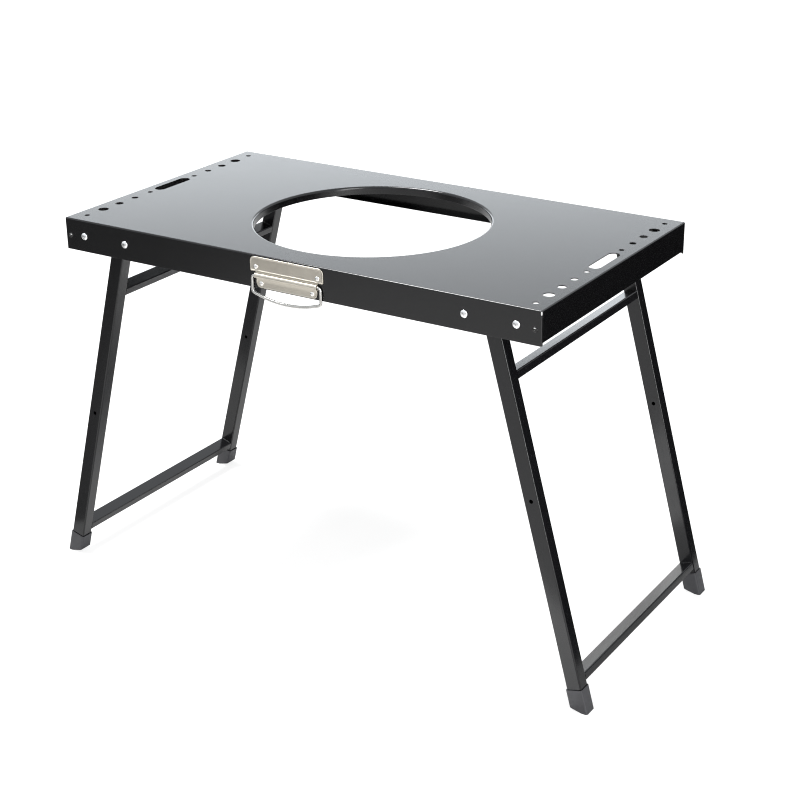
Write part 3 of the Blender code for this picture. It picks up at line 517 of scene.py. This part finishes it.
# Leg frames. Each is two legs of 23 x 20 mm rectangular steel tube and two crossbars of 22 x 12 mm tube,
# MIG-welded between them and powder-coated black. A crush sleeve inside each leg lines its pivot hole. The
# left legs have a round nose, and the right ones reach up past the pivot to their stop.
SPLAY = math.radians(15)
PIVOTS = {joint["child"]: Vector(joint["pos_m"]) for joint in frame["joints"]}
LEG_WIDTH, LEG_THICKNESS, LEG_CORNER = 0.023, 0.020, 0.0022
BAR_WIDTH, BAR_HEIGHT, BAR_CORNER = 0.022, 0.012, 0.0018
TUBE_WALL = 0.0012
BORE_RADIUS = 0.0033
LEG_HOLE_RADIUS = 0.0030
LEG_HOLE_HEIGHT = {"left": 0.2605, "right": 0.3030}
TUBE_END_RISE = 0.015
ABOVE_PIVOT = {"left": LEG_WIDTH / 2, "right": 0.026}
NOSE_FROM = 0.2
BAR_HEIGHTS = {"upper": 0.469, "lower": 0.044}
BAR_LOW, BAR_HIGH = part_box("upper_crossbar_left")
BAR_LENGTH = BAR_HIGH.y - BAR_LOW.y
WELD_LENGTH, WELD_RADIUS = 0.0175, 0.0011
WELD_RIPPLE, WELD_RIPPLE_SHARE = 0.0017, 0.10
WELD_OFFSET = 0.0001
ALONG_Y = Matrix.Rotation(QUARTER, 4, "X")


def carve(mesh, *tools):
    """The mesh after Boolean steps, each an operation and the mesh of its tool."""
    body = bpy.data.objects.new("body", mesh)
    bpy.context.scene.collection.objects.link(body)
    guests = []
    for operation, tool in tools:
        guest = bpy.data.objects.new("tool", tool)
        bpy.context.scene.collection.objects.link(guest)
        step = body.modifiers.new("step", "BOOLEAN")
        step.operation, step.solver, step.object = operation, "EXACT", guest
        guests.append(guest)
    result = bpy.data.meshes.new_from_object(body.evaluated_get(bpy.context.evaluated_depsgraph_get()))
    for thing in [body] + guests:
        bpy.data.objects.remove(thing)
    return result


def flat(outlines, thickness, turn=Matrix()):
    """Closed outlines filled and made thick about their plane."""
    mesh = curve_mesh(outlines, True, dimensions="2D", fill_mode="BOTH", extrude=thickness / 2)
    welded = mesh_from("flat", lambda bm: bm.from_mesh(mesh))
    welded.transform(turn)
    return welded


def round_corners(corners, radii, count=5):
    """Replaces the corners of a closed outline with arcs; a radius of zero keeps the corner."""
    points = []
    for index, (corner, radius) in enumerate(zip(corners, radii)):
        here = Vector(corner)
        if not radius:
            points.append(tuple(here))
            continue
        before = (Vector(corners[index - 1]) - here).normalized()
        after = (Vector(corners[(index + 1) % len(corners)]) - here).normalized()
        half = before.angle(after) / 2
        centre = here + (before + after).normalized() * radius / math.sin(half)
        first = here + before * radius / math.tan(half) - centre
        turn = -1 if before.cross(after) > 0 else 1
        for angle in steps(0, turn * (math.pi - 2 * half), count):
            points.append(tuple(centre + Matrix.Rotation(angle, 2) @ first))
    return points


def rectangle(width, height, radius):
    """A rectangle with round corners about the origin."""
    x, y = width / 2, height / 2
    return round_corners([(-x, -y), (x, -y), (x, y), (-x, y)], [radius] * 4)


def tube(width, height, radius, length, turn=Matrix()):
    """A rectangular tube about the origin."""
    inside = rectangle(width - 2 * TUBE_WALL, height - 2 * TUBE_WALL, max(radius - TUBE_WALL, 0.0003))
    return flat([rectangle(width, height, radius), inside], length, turn)


def rod(radius, length, place=(0, 0, 0)):
    """A rod along Y, used to cut holes."""
    profile = [(0, -length / 2), (radius, -length / 2), (radius, length / 2), (0, length / 2)]
    return placed(turned(profile, 1, 32), "rod", Matrix.Translation(place))


def build_welds(bm):
    """Rippled beads above and below each end of a crossbar."""
    for y_side in (-1, 1):
        for z_side in (-1, 1):
            y, z = y_side * (BAR_LENGTH / 2 + WELD_OFFSET), z_side * (BAR_HEIGHT / 2 - WELD_OFFSET)
            rings = []
            for x in steps(-WELD_LENGTH / 2, WELD_LENGTH / 2, 44):
                taper = math.sqrt(max(1 - (2 * x / WELD_LENGTH) ** 8, 0.02))
                ripple = 1 + WELD_RIPPLE_SHARE * math.sin(math.tau * x / WELD_RIPPLE)
                radius = WELD_RADIUS * taper * ripple
                rings.append([(x, y + radius * math.cos(a), z + radius * math.sin(a))
                              for a in steps(0, math.tau, 12)[:-1]])
            capped_loft(bm, rings)


def down_leg(pivot, height):
    """How far along the leg from its pivot the leg's middle line reaches a height."""
    return (height - pivot.z) / math.cos(SPLAY)


def beyond_nose():
    """What is cut away around the round nose of a left leg."""
    half = LEG_WIDTH / 2
    nose = [(half * math.cos(a), half * math.sin(a)) for a in steps(NOSE_FROM, math.pi - NOSE_FROM, 16)]
    shoulder = nose[0][1]
    nose += [(-LEG_WIDTH, shoulder), (-LEG_WIDTH, LEG_WIDTH), (LEG_WIDTH, LEG_WIDTH), (LEG_WIDTH, shoulder)]
    return flat([nose], 2 * LEG_THICKNESS, ALONG_Y)


def beside_pivot(node, body):
    """The move from a frame's middle to the leg or cap of a node, along the pivot's axis."""
    low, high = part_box(node)
    return Matrix.Translation((0, (low.y + high.y) / 2 - PIVOTS[body].y, 0))


TUBE_DARK, TUBE_LIGHT = (0.005, 0.005, 0.006), (0.009, 0.009, 0.010)
TUBE_COAT = powder_coat("black coated tube", TUBE_DARK, TUBE_LIGHT, 0.17, peel=0.00001, index=1.46)
UPPER_BAR_COAT = powder_coat("black coated bar", TUBE_DARK, TUBE_LIGHT, 0.26, peel=0.00001, index=1.46)
BAR_COATS = {"upper": UPPER_BAR_COAT, "lower": TUBE_COAT}
welds = mesh_from("welds", build_welds)
FRAMES = {}
for end, sign in ENDS:
    body = f"{end}_frame"
    pivot = PIVOTS[body]
    FRAMES[end] = Matrix.Translation(pivot) @ Matrix.Rotation(-sign * SPLAY, 4, "Y")
    top_z, low_z = ABOVE_PIVOT[end], down_leg(pivot, 0) + TUBE_END_RISE
    hole_place = (0, 0, down_leg(pivot, LEG_HOLE_HEIGHT[end]))
    for side in FACES:
        node = f"leg_{side}_{end}"
        leg = tube(LEG_WIDTH, LEG_THICKNESS, LEG_CORNER, top_z - low_z)
        leg.transform(Matrix.Translation((0, 0, (top_z + low_z) / 2)))
        cuts = [rod(BORE_RADIUS, 2 * LEG_THICKNESS), rod(LEG_HOLE_RADIUS, 2 * LEG_THICKNESS, hole_place)]
        if end == "left":
            cuts.append(beyond_nose())
        leg = carve(leg, *[("DIFFERENCE", cut) for cut in cuts])
        matrix = FRAMES[end] @ beside_pivot(node, body)
        show(placed(leg, f"tube_leg_{side}_{end}", matrix), TUBE_COAT, body, "frame_coat", node)
    for which, height in BAR_HEIGHTS.items():
        node = f"{which}_crossbar_{end}"
        matrix = FRAMES[end] @ Matrix.Translation((0, 0, down_leg(pivot, height)))
        bar = tube(BAR_WIDTH, BAR_HEIGHT, BAR_CORNER, BAR_LENGTH, ALONG_Y)
        show(placed(bar, f"tube_{which}_crossbar_{end}", matrix), BAR_COATS[which], body, "frame_coat", node)
        show(placed(welds, f"welds_{which}_{end}", matrix), TUBE_COAT, body, "frame_coat")


# Foot caps. Moulded black plastic caps pushed over the ends of the legs. The sole is cut level with the
# floor on its outer side and rises towards the middle, so that the splayed leg stands flat.
CAP_WIDTH, CAP_THICKNESS, CAP_CORNER = 0.026, 0.023, 0.0032
CAP_HEIGHT, CAP_LAND, CAP_INNER_RISE = 0.0337, 0.009, 0.0045
CAP_SOFT_EDGE, CAP_SOFT_FROM = 0.0009, math.radians(40)
SOCKET_GAP = 0.0003


def moulded_plastic(name, dark, light):
    """Matt moulded plastic: a fine spark-eroded grain, faint draw lines and dusty high spots."""
    material, shader, place = start_material(name, IOR=1.49)
    cloud = place.noise(120.0, 3.0)
    lines = place.noise(260.0, 2.0, stretch=(1.0, 1.0, 0.12))
    grain = place.noise(2600.0, 2.0, 0.6)
    (0.7 * cloud + 0.3 * lines).mix((*dark, 1), (*light, 1)).feed(shader, "Base Color")
    (0.44 + 0.16 * cloud).feed(shader, "Roughness")
    (grain + 0.8 * lines).bump(0.00004).feed(shader, "Normal")
    return material


def cap_outline(sign, floor_z):
    """The cap from the front: level on its outer side, its sole rising towards the table's middle."""
    half, slope = CAP_WIDTH / 2, math.tan(SPLAY)
    top_z = floor_z + CAP_HEIGHT
    inner_z = floor_z + half * slope + CAP_INNER_RISE / math.cos(SPLAY)
    land_x = half - CAP_LAND * math.cos(SPLAY)
    corners = [(half, floor_z - half * slope), (half, top_z), (-half, top_z), (-half, inner_z),
               (land_x, floor_z - land_x * slope)]
    return round_corners([(sign * x, z) for x, z in corners], [0, 0, 0, CAP_CORNER, 0], 4)


def foot_cap(sign, floor_z):
    """A cap with its outline cut from the side and a socket for the tube."""
    length = 2 * CAP_HEIGHT
    block = flat([rectangle(CAP_WIDTH, CAP_THICKNESS, CAP_CORNER)], length)
    block.transform(Matrix.Translation((0, 0, floor_z)))
    cap = carve(block, ("INTERSECT", flat([cap_outline(sign, floor_z)], CAP_THICKNESS * 2, ALONG_Y)))
    socket = flat([rectangle(LEG_WIDTH + 2 * SOCKET_GAP, LEG_THICKNESS + 2 * SOCKET_GAP, LEG_CORNER)], length)
    socket.transform(Matrix.Translation((0, 0, floor_z + TUBE_END_RISE - SOCKET_GAP + length / 2)))
    return carve(cap, ("DIFFERENCE", socket))


CAP_PLASTIC = moulded_plastic("black moulded plastic", (0.038, 0.038, 0.042), (0.070, 0.070, 0.076))
for end, sign in ENDS:
    body = f"{end}_frame"
    for side in FACES:
        node = f"foot_{side}_{end}"
        cap = foot_cap(sign, down_leg(PIVOTS[body], 0))
        matrix = FRAMES[end] @ beside_pivot(node, body)
        foot = show(placed(cap, f"foot_cap_{side}_{end}", matrix), CAP_PLASTIC, body, "cap_plastic", node)
        edge = foot.modifiers.new("soft edge", "BEVEL")
        edge.width, edge.segments, edge.limit_method = CAP_SOFT_EDGE, 3, "ANGLE"
        edge.angle_limit = CAP_SOFT_FROM
        # The edge is rounded before the shading is evened
        foot.modifiers.move(1, 0)


# Hinges. Folded steel brackets, powder-coated, inside the long skirts. The bolts, washers, lock nuts and
# sleeves on which the legs turn are zinc-plated. The nodes of the frame have the right shapes and stay.
BRACKET_COAT = powder_coat("black coated bracket", TUBE_DARK, TUBE_LIGHT, roughness=0.30, peel=0.00001)


def plated(name, dark, light, roughness, brush, stretch=(1.0, 1.0, 1.0)):
    """Plated steel: cloudy reflections, fine rolling marks and small differences in gloss."""
    material, shader, place = start_material(name, Metallic=1.0)
    cloud = place.noise(70.0, 3.0)
    marks = place.noise(900.0, 3.0, 0.6, stretch)
    (0.75 * cloud + 0.25 * marks).mix((*dark, 1), (*light, 1)).feed(shader, "Base Color")
    (roughness - 0.08 + 0.12 * cloud + 0.06 * marks).feed(shader, "Roughness")
    (marks * brush + cloud * 0.15).bump(0.00006).feed(shader, "Normal")
    return material


ZINC = plated("zinc plate", (0.44, 0.46, 0.50), (0.60, 0.60, 0.58), 0.36, 0.3)
for node, piece in frame["nodes"].items():
    for slot in piece.material_slots:
        if node.startswith("hinge_bracket"):
            slot.material = BRACKET_COAT
        elif node.startswith(("pivot", "leg_washer", "nut_washer")):
            slot.material = ZINC


# Bracket screws. Bright chrome truss-head screws with a cross recess, two through the skirt over each leg
# into the weld nuts of the bracket behind it.
SCREW_HEAD, SCREW_RIM, SCREW_HEIGHT = 0.0055, 0.0006, 0.0026
SCREW_SHANK = [(0, -0.0080), (0.0020, -0.0080), (0.0025, -0.0074), (0.0025, 0.0001)]
# The cross recess, from above the head down to its floor: (half span, half width, height)
RECESS = ((0.0019, 0.00040, 0.0032), (0.0007, 0.00030, 0.0006))


def recess_wing(across):
    """One tapered wing of a cross recess, along X or along Z."""
    def build(bm):
        rings = []
        for span, half, height in RECESS:
            x, z = (span, half) if across else (half, span)
            rings.append([(-x, -height, -z), (x, -height, -z), (x, -height, z), (-x, -height, z)])
        capped_loft(bm, rings)
    return mesh_from("wing", build)


CHROME = plated("bright chrome", (0.92, 0.92, 0.93), (0.97, 0.97, 0.97), 0.26, 0.03)
profile = SCREW_SHANK + [(0.0052, 0.0001), (SCREW_HEAD, 0.0004)]
profile += [(SCREW_HEAD * math.cos(a), SCREW_RIM + (SCREW_HEIGHT - SCREW_RIM) * math.sin(a))
            for a in steps(0, QUARTER, 10)]
wings = [("DIFFERENCE", recess_wing(across)) for across in (True, False)]
screw = carve(turned(profile, -1, 48), *wings)
turns = random.Random(7)
for side, end in CORNERS:
    facing, face = FACES[side]
    for which in ("inner", "outer"):
        node = f"bracket_screw_{side}_{end}_{which}"
        turn = Matrix.Rotation(turns.uniform(0, math.tau), 4, "Y")
        if facing > 0:
            turn = Matrix.Rotation(math.pi, 4, "Z") @ turn
        matrix = on_skirt(node, face) @ turn
        show(placed(screw, f"truss_screw_{side}_{end}_{which}", matrix), CHROME, "table", "chrome", node)


# Carrying handle. A pressed, nickel-plated steel plate with a stiffening ridge and a rolled bead, held by
# four domed rivets on the front skirt. The bail is 4.2 mm wire and hangs by its ends, which lie in the bead.
HANDLE_X = 0.004
PLATE_SHEET = 0.0010
PLATE_GAP = 0.0003
PLATE_TOP, STEP_DROP, PLATE_BOTTOM = -0.0020, -0.0240, -0.0466
UPPER_HALF, LOWER_HALF = 0.0615, 0.0515
PLATE_ROUND, STEP_ROUND, NOTCH_ROUND = 0.0075, 0.0032, 0.0008
RIDGE_DROP, RIDGE_HEIGHT, RIDGE_HALF_WIDTH = 0.0222, 0.0013, 0.0017
RIDGE_HALF_LENGTH = 0.0598
BEAD_DROP, BEAD_RADIUS, BEAD_HALF_LENGTH = 0.0290, 0.0037, 0.0525
BEAD_FILLET = 0.0012
RIDGE_SINK, BEAD_SINK = 0.0007, 0.0008
RIDGE_OVERLAP = 0.00002
WIRE_RADIUS, CHANNEL_RADIUS = 0.0021, 0.0026
CHANNEL_BACK, CHANNEL_PAST_BEAD = -0.002, 0.004
WIRE_BEHIND = PLATE_GAP + WIRE_RADIUS
HANDLE = Matrix.Translation((TOP_MIDDLE.x + HANDLE_X, TOP_LOW.y, TOP_MIDDLE.z))


def plate_outline(inset):
    """The plate's outline, drawn in by a distance: a wide upper part over a narrower lower part."""
    upper, lower, step = UPPER_HALF - inset, LOWER_HALF - inset, STEP_DROP + inset
    right = [(lower, PLATE_BOTTOM + inset), (lower, step), (upper, step), (upper, PLATE_TOP - inset)]
    corners = right + [(-x, z) for x, z in reversed(right)]
    radii = [PLATE_ROUND - inset, NOTCH_ROUND + inset, STEP_ROUND - inset, PLATE_ROUND - inset]
    return round_corners(corners, radii + radii[::-1], 8)


# The plate's pressed lip, from its back edge over the lip to the flat: (inset, out from the skirt)
LIP = [(0, PLATE_GAP), (0, 0.0010), (0.00012, 0.00135), (0.0004, 0.00162), (0.0008, 0.00172),
       (0.0012, 0.00166), (0.0016, 0.0015), (0.0020, 0.00136), (0.0024, PLATE_GAP + PLATE_SHEET)]


def build_plate(bm):
    """The plate with a pressed lip all round its front; its back lies against the skirt."""
    loft(bm, [[(x, -out, z) for x, z in plate_outline(inset)] for inset, out in LIP])
    for inset, out in (LIP[0], LIP[-1]):
        face = curve_mesh([plate_outline(inset)], True, dimensions="2D", fill_mode="BOTH")
        face.transform(Matrix.Translation((0, -out, 0)) @ ALONG_Y)
        bm.from_mesh(face)


def swept(section, half_length, turn):
    """A closed section, given as (out, up) points, carried along X with its ends closed."""
    rings = [[(x, -out, up) for out, up in section] for x in (-half_length, half_length)]
    mesh = mesh_from("swept", lambda bm: capped_loft(bm, rings))
    mesh.transform(turn)
    return mesh


def bead_section():
    """The rolled bead with a fillet where it leaves the plate above and below."""
    front = PLATE_GAP + PLATE_SHEET
    reach = BEAD_RADIUS + BEAD_FILLET
    touch = math.asin((front + BEAD_FILLET - WIRE_BEHIND) / reach)
    fillet_z = reach * math.cos(touch)
    bead = [(WIRE_BEHIND + BEAD_RADIUS * math.cos(a), BEAD_RADIUS * math.sin(a))
            for a in steps(QUARTER - touch, touch - QUARTER, 24)]
    upper = [(front + BEAD_FILLET + BEAD_FILLET * math.cos(a), fillet_z + BEAD_FILLET * math.sin(a))
             for a in steps(math.pi, 3 * QUARTER - touch, 5)]
    lower = [(out, -up) for out, up in reversed(upper)]
    back = front - BEAD_SINK
    return [(back, fillet_z)] + upper + bead[1:-1] + lower + [(back, -fillet_z)]


def ridge_section():
    """The stiffening ridge: a smooth wave that rises from the plate's front."""
    front = PLATE_GAP + PLATE_SHEET
    wave = []
    for share in steps(-1, 1, 14):
        lift = RIDGE_HEIGHT * (0.5 + 0.5 * math.cos(math.pi * share))
        wave.append((front - RIDGE_OVERLAP + lift, -share * RIDGE_HALF_WIDTH))
    back = front - RIDGE_SINK
    return [(back, RIDGE_HALF_WIDTH)] + wave + [(back, -RIDGE_HALF_WIDTH)]


def channel_section():
    """The groove behind the bead, open at the back, in which the ends of the wire lie."""
    around = [(WIRE_BEHIND + CHANNEL_RADIUS * math.cos(a), CHANNEL_RADIUS * math.sin(a))
              for a in steps(QUARTER, -QUARTER, 20)]
    return around + [(CHANNEL_BACK, -CHANNEL_RADIUS), (CHANNEL_BACK, CHANNEL_RADIUS)]


NICKEL = plated("nickel plate", (0.55, 0.51, 0.44), (0.66, 0.62, 0.54), 0.34, 0.12, (1.0, 1.0, 0.06))
BRIGHT_NICKEL = plated("bright nickel plate", (0.86, 0.85, 0.82), (0.95, 0.94, 0.92), 0.20, 0.05)
WIRE_NICKEL = plated("nickel-plated wire", (0.50, 0.49, 0.47), (0.66, 0.65, 0.62), 0.18, 0.05)
at_bead = Matrix.Translation((0, 0, -BEAD_DROP))
at_ridge = Matrix.Translation((0, 0, -RIDGE_DROP))
plate = carve(
    mesh_from("plate", build_plate),
    ("UNION", swept(bead_section(), BEAD_HALF_LENGTH, at_bead)),
    ("UNION", swept(ridge_section(), RIDGE_HALF_LENGTH, at_ridge)),
    ("DIFFERENCE", swept(channel_section(), BEAD_HALF_LENGTH + CHANNEL_PAST_BEAD, at_bead)),
)
show(placed(plate, "pressed_handle_plate", HANDLE), NICKEL, "table", "nickel", "handle_plate")

HANDLE_RIVET = [(0, -0.0034), (0.0014, -0.0034), (0.0025, -0.0026), (0.0025, -0.0018), (0.0015, -0.0018),
                (0.0015, 0), (0.0036, 0)]
HANDLE_RIVET += dome(0.0037, 0.0017, 0.0008, 0.0010)
rivet = turned(HANDLE_RIVET, -1)
for row in ("upper", "lower"):
    for end, _ in ENDS:
        node = f"handle_rivet_{row}_{end}"
        matrix = on_skirt(node, TOP_LOW.y - PLATE_GAP - PLATE_SHEET)
        show(placed(rivet, f"domed_rivet_{row}_{end}", matrix), BRIGHT_NICKEL, "table", "nickel", node)

BAIL_ARM, BAIL_DROP, BAIL_BOW, BAIL_TAIL = 0.0578, 0.0246, 0.0103, 0.0345
BAIL_SHOULDER, BAIL_CORNER, BOW_STEPS = 0.005, 0.0045, 24


def bail_line():
    """The wire's middle line: tails in the bead, two arms down and a shallow bow between them."""
    radius = (BAIL_ARM ** 2 + BAIL_BOW ** 2) / (2 * BAIL_BOW)
    reach = math.asin(BAIL_ARM / radius)
    rise = radius - BAIL_DROP - BAIL_BOW
    bow = [(radius * math.sin(a), rise - radius * math.cos(a)) for a in steps(reach, -reach, BOW_STEPS)]
    corners = [(BAIL_TAIL, 0), (BAIL_ARM, 0)] + bow + [(-BAIL_ARM, 0), (-BAIL_TAIL, 0)]
    bends = [0, BAIL_SHOULDER, BAIL_CORNER]
    radii = bends + [0] * (BOW_STEPS - 1) + bends[::-1]
    return [(x, 0, z) for x, z in round_corners(corners, radii, 10)]


wire_curve = curve_mesh([bail_line()], False, dimensions="3D", bevel_depth=WIRE_RADIUS, bevel_resolution=6,
                        use_fill_caps=True)
wire = mesh_from("wire", lambda bm: bm.from_mesh(wire_curve))
matrix = HANDLE @ Matrix.Translation((0, -WIRE_BEHIND, -BEAD_DROP))
show(placed(wire, "wire_bail", matrix), WIRE_NICKEL, "bail", "nickel", "handle_bail")


# Studio. A matt floor that the camera sees as near white, and a white world that lights weakly. Three lights
# stand above and in front, two behind, and one is for the corner rivets alone. Cards are only seen mirrored:
# the dark ones paint shade into reflections, and the pale ones, whiter than white, paint light into them.
FLOOR_HALF, FLOOR_Z = 20, -0.0003
FLOOR_PAINT, MIRRORED_PAINT, SEEN_PAINT = (0.76, 0.76, 0.76, 1), (0.86, 0.86, 0.86, 1), (0.38, 0.38, 0.38, 1)
BLACK, WHITE = (0, 0, 0, 1), (1, 1, 1, 1)
MIRRORED_SKY = (0.93, 0.965, 1, 1)
SKY_LIGHT = 0.3
floor_mesh = bpy.data.meshes.new("studio_floor")
floor_corners = [(FLOOR_HALF * x, FLOOR_HALF * y, FLOOR_Z) for x, y in ((-1, -1), (1, -1), (1, 1), (-1, 1))]
floor_mesh.from_pydata(floor_corners, [], [(0, 1, 2, 3)])
floor = bpy.data.objects.new("studio_floor", floor_mesh)
bpy.context.scene.collection.objects.link(floor)
floor_paint = bpy.data.materials.new("pale studio floor")
floor_paint.use_nodes = True
tree = floor_paint.node_tree
paint = tree.nodes["Principled BSDF"]
seen = Wire(tree).node("ShaderNodeLightPath", output="Is Camera Ray")
mirrored = Wire(tree).node("ShaderNodeLightPath", output="Is Glossy Ray")
seen.mix(mirrored.mix(FLOOR_PAINT, MIRRORED_PAINT), SEEN_PAINT).feed(paint, "Base Color")
spot = Wire(tree).node("ShaderNodeTexCoord", output="Object")
far = spot.node("ShaderNodeVectorMath", {0: spot}, output=1, operation="LENGTH")
brighter = {"Value": far, "From Min": 1.0, "From Max": 2.6, "To Min": 0.80, "To Max": 1.0}
glow = seen * far.node("ShaderNodeMapRange", brighter)
glow.mix(BLACK, WHITE).feed(paint, "Emission Color")
paint.inputs["Emission Strength"].default_value = 1.0
paint.inputs["Roughness"].default_value = 1.0
paint.inputs["Specular IOR Level"].default_value = 0.0
floor_mesh.materials.append(floor_paint)

world = bpy.data.worlds.new("studio")
bpy.context.scene.world = world
world.use_nodes = True
tree = world.node_tree
seen = Wire(tree).node("ShaderNodeLightPath", output="Is Camera Ray")
mirrored = Wire(tree).node("ShaderNodeLightPath", output="Is Glossy Ray")
strength = SKY_LIGHT + (1 - SKY_LIGHT) * seen.maths("MAXIMUM", seen, mirrored)
background = tree.nodes["Background"]
mirrored.mix(WHITE, MIRRORED_SKY).feed(background, "Color")
strength.feed(background, "Strength")


def soft_light(name, place, target, size, power, colour=(1, 1, 1)):
    """A rectangular area light aimed at a point."""
    lamp = bpy.data.lights.new(name, "AREA")
    lamp.shape = "RECTANGLE"
    lamp.size, lamp.size_y = size
    lamp.energy = power
    lamp.color = colour
    light = bpy.data.objects.new(name, lamp)
    light.location = place
    light.rotation_euler = (Vector(target) - Vector(place)).to_track_quat("-Z", "Y").to_euler()
    bpy.context.scene.collection.objects.link(light)
    light.visible_camera = False
    return light


soft_light("ceiling light", (-0.95, 0.0, 2.7), (-0.1, -0.2, 0.3), (1.2, 0.7), 70)
soft_light("key light", (2.1, -1.4, 2.7), (0.2, -0.5, 0.2), (1.1, 1.1), 30)
soft_light("standing front light", (2.3, -1.35, 0.7), (0.4, -0.2, 0.7), (0.5, 1.4), 30)
COOL = (0.90, 0.955, 1.0)
soft_light("low back light", (-2.3, 2.9, 1.105), (-1.3, 1.35, 1.105), (6.0, 1.10), 47, COOL)
soft_light("high back light", (-2.0, 3.1, 3.1), (0, 0, 0.6), (6.0, 3.0), 4, COOL)
rivet_light = soft_light("rivet light", (-0.6, -2.4, 1.28), (0.0, -0.22, 0.55), (2.0, 1.4), 190)
rivets = bpy.data.collections.new("corner rivets")
for piece in bpy.context.scene.objects:
    if piece.name.startswith("blind_rivet"):
        rivets.objects.link(piece)
rivet_light.light_linking.receiver_collection = rivets


def reflected_card(name, shade, corners):
    """A matt card on or over the floor, dark or pale, that only reflections show: a dark card paints shade
    and a pale card paints light into what shiny parts mirror.
    """
    mesh = bpy.data.meshes.new(name)
    mesh.from_pydata(corners, [], [range(len(corners))])
    card = bpy.data.objects.new(name, mesh)
    bpy.context.scene.collection.objects.link(card)
    paint = bpy.data.materials.new(name)
    paint.use_nodes = True
    surface = paint.node_tree.nodes["Principled BSDF"]
    surface.inputs["Base Color"].default_value = (shade, shade, shade, 1)
    surface.inputs["Specular IOR Level"].default_value = 0.0
    mesh.materials.append(paint)
    card.visible_camera = card.visible_diffuse = card.visible_shadow = False


# Painted reflections: the right and left cards paint shade, and the pale and bright cards paint light
reflected_card("right_card", 0.01, [(0.60, -0.1, 0.01), (2.4, 0.5, 1.0), (2.4, 3.4, 1.0), (0.30, 2.4, 0.01)])
reflected_card("left_card", 0.22, [
    (-4.0, -3.4, 0.002), (-1.0, -3.4, 0.002), (-1.0, -1.0, 0.002), (-0.5, -0.3, 0.002), (-0.62, -0.2, 0.002),
    (-1.2, -0.4, 0.002), (-4.0, -0.7, 0.002)])
reflected_card("pale_card", 2.1, [
    (-0.1, 0.35, 0.05), (0.42, 0.35, 0.05), (0.42, 0.35, 0.27), (-0.1, 0.35, 0.27)])
reflected_card("bright_card", 2.0, [
    (0.18, -0.52, 0.002), (0.36, -0.42, 0.002), (0.46, -0.24, 0.002), (0.32, 0.02, 0.002),
    (0.12, -0.10, 0.002)])

# The photograph's camera, fitted to the corners of the top, the hole, the legs and the crossbars
FOCAL_PIXELS, IMAGE_PIXELS = 1706.0, 800
CENTRE_X, CENTRE_Y = 428.343, 400.796
CAMERA_PLACE = Vector((1.335901, -2.014139 + TOP_MIDDLE.y, TOP_MIDDLE.z + 0.733907))
YAW, PITCH, ROLL = math.radians(31.653), math.radians(22.979), math.radians(-0.314)
camera = bpy.data.objects.new("camera", bpy.data.cameras.new("camera"))
bpy.context.scene.collection.objects.link(camera)
camera.data.lens = FOCAL_PIXELS * camera.data.sensor_width / IMAGE_PIXELS
camera.data.shift_x = (IMAGE_PIXELS / 2 - CENTRE_X) / IMAGE_PIXELS
camera.data.shift_y = (CENTRE_Y - IMAGE_PIXELS / 2) / IMAGE_PIXELS
camera.data.clip_end = 100
tilt = Matrix.Rotation(QUARTER - PITCH, 4, "X") @ Matrix.Rotation(ROLL, 4, "Z")
camera.matrix_world = Matrix.Translation(CAMERA_PLACE) @ Matrix.Rotation(YAW, 4, "Z") @ tilt
bpy.context.scene.camera = camera
bpy.context.scene.view_settings.view_transform = "Standard"
bpy.context.scene.cycles.filter_width = 1.1
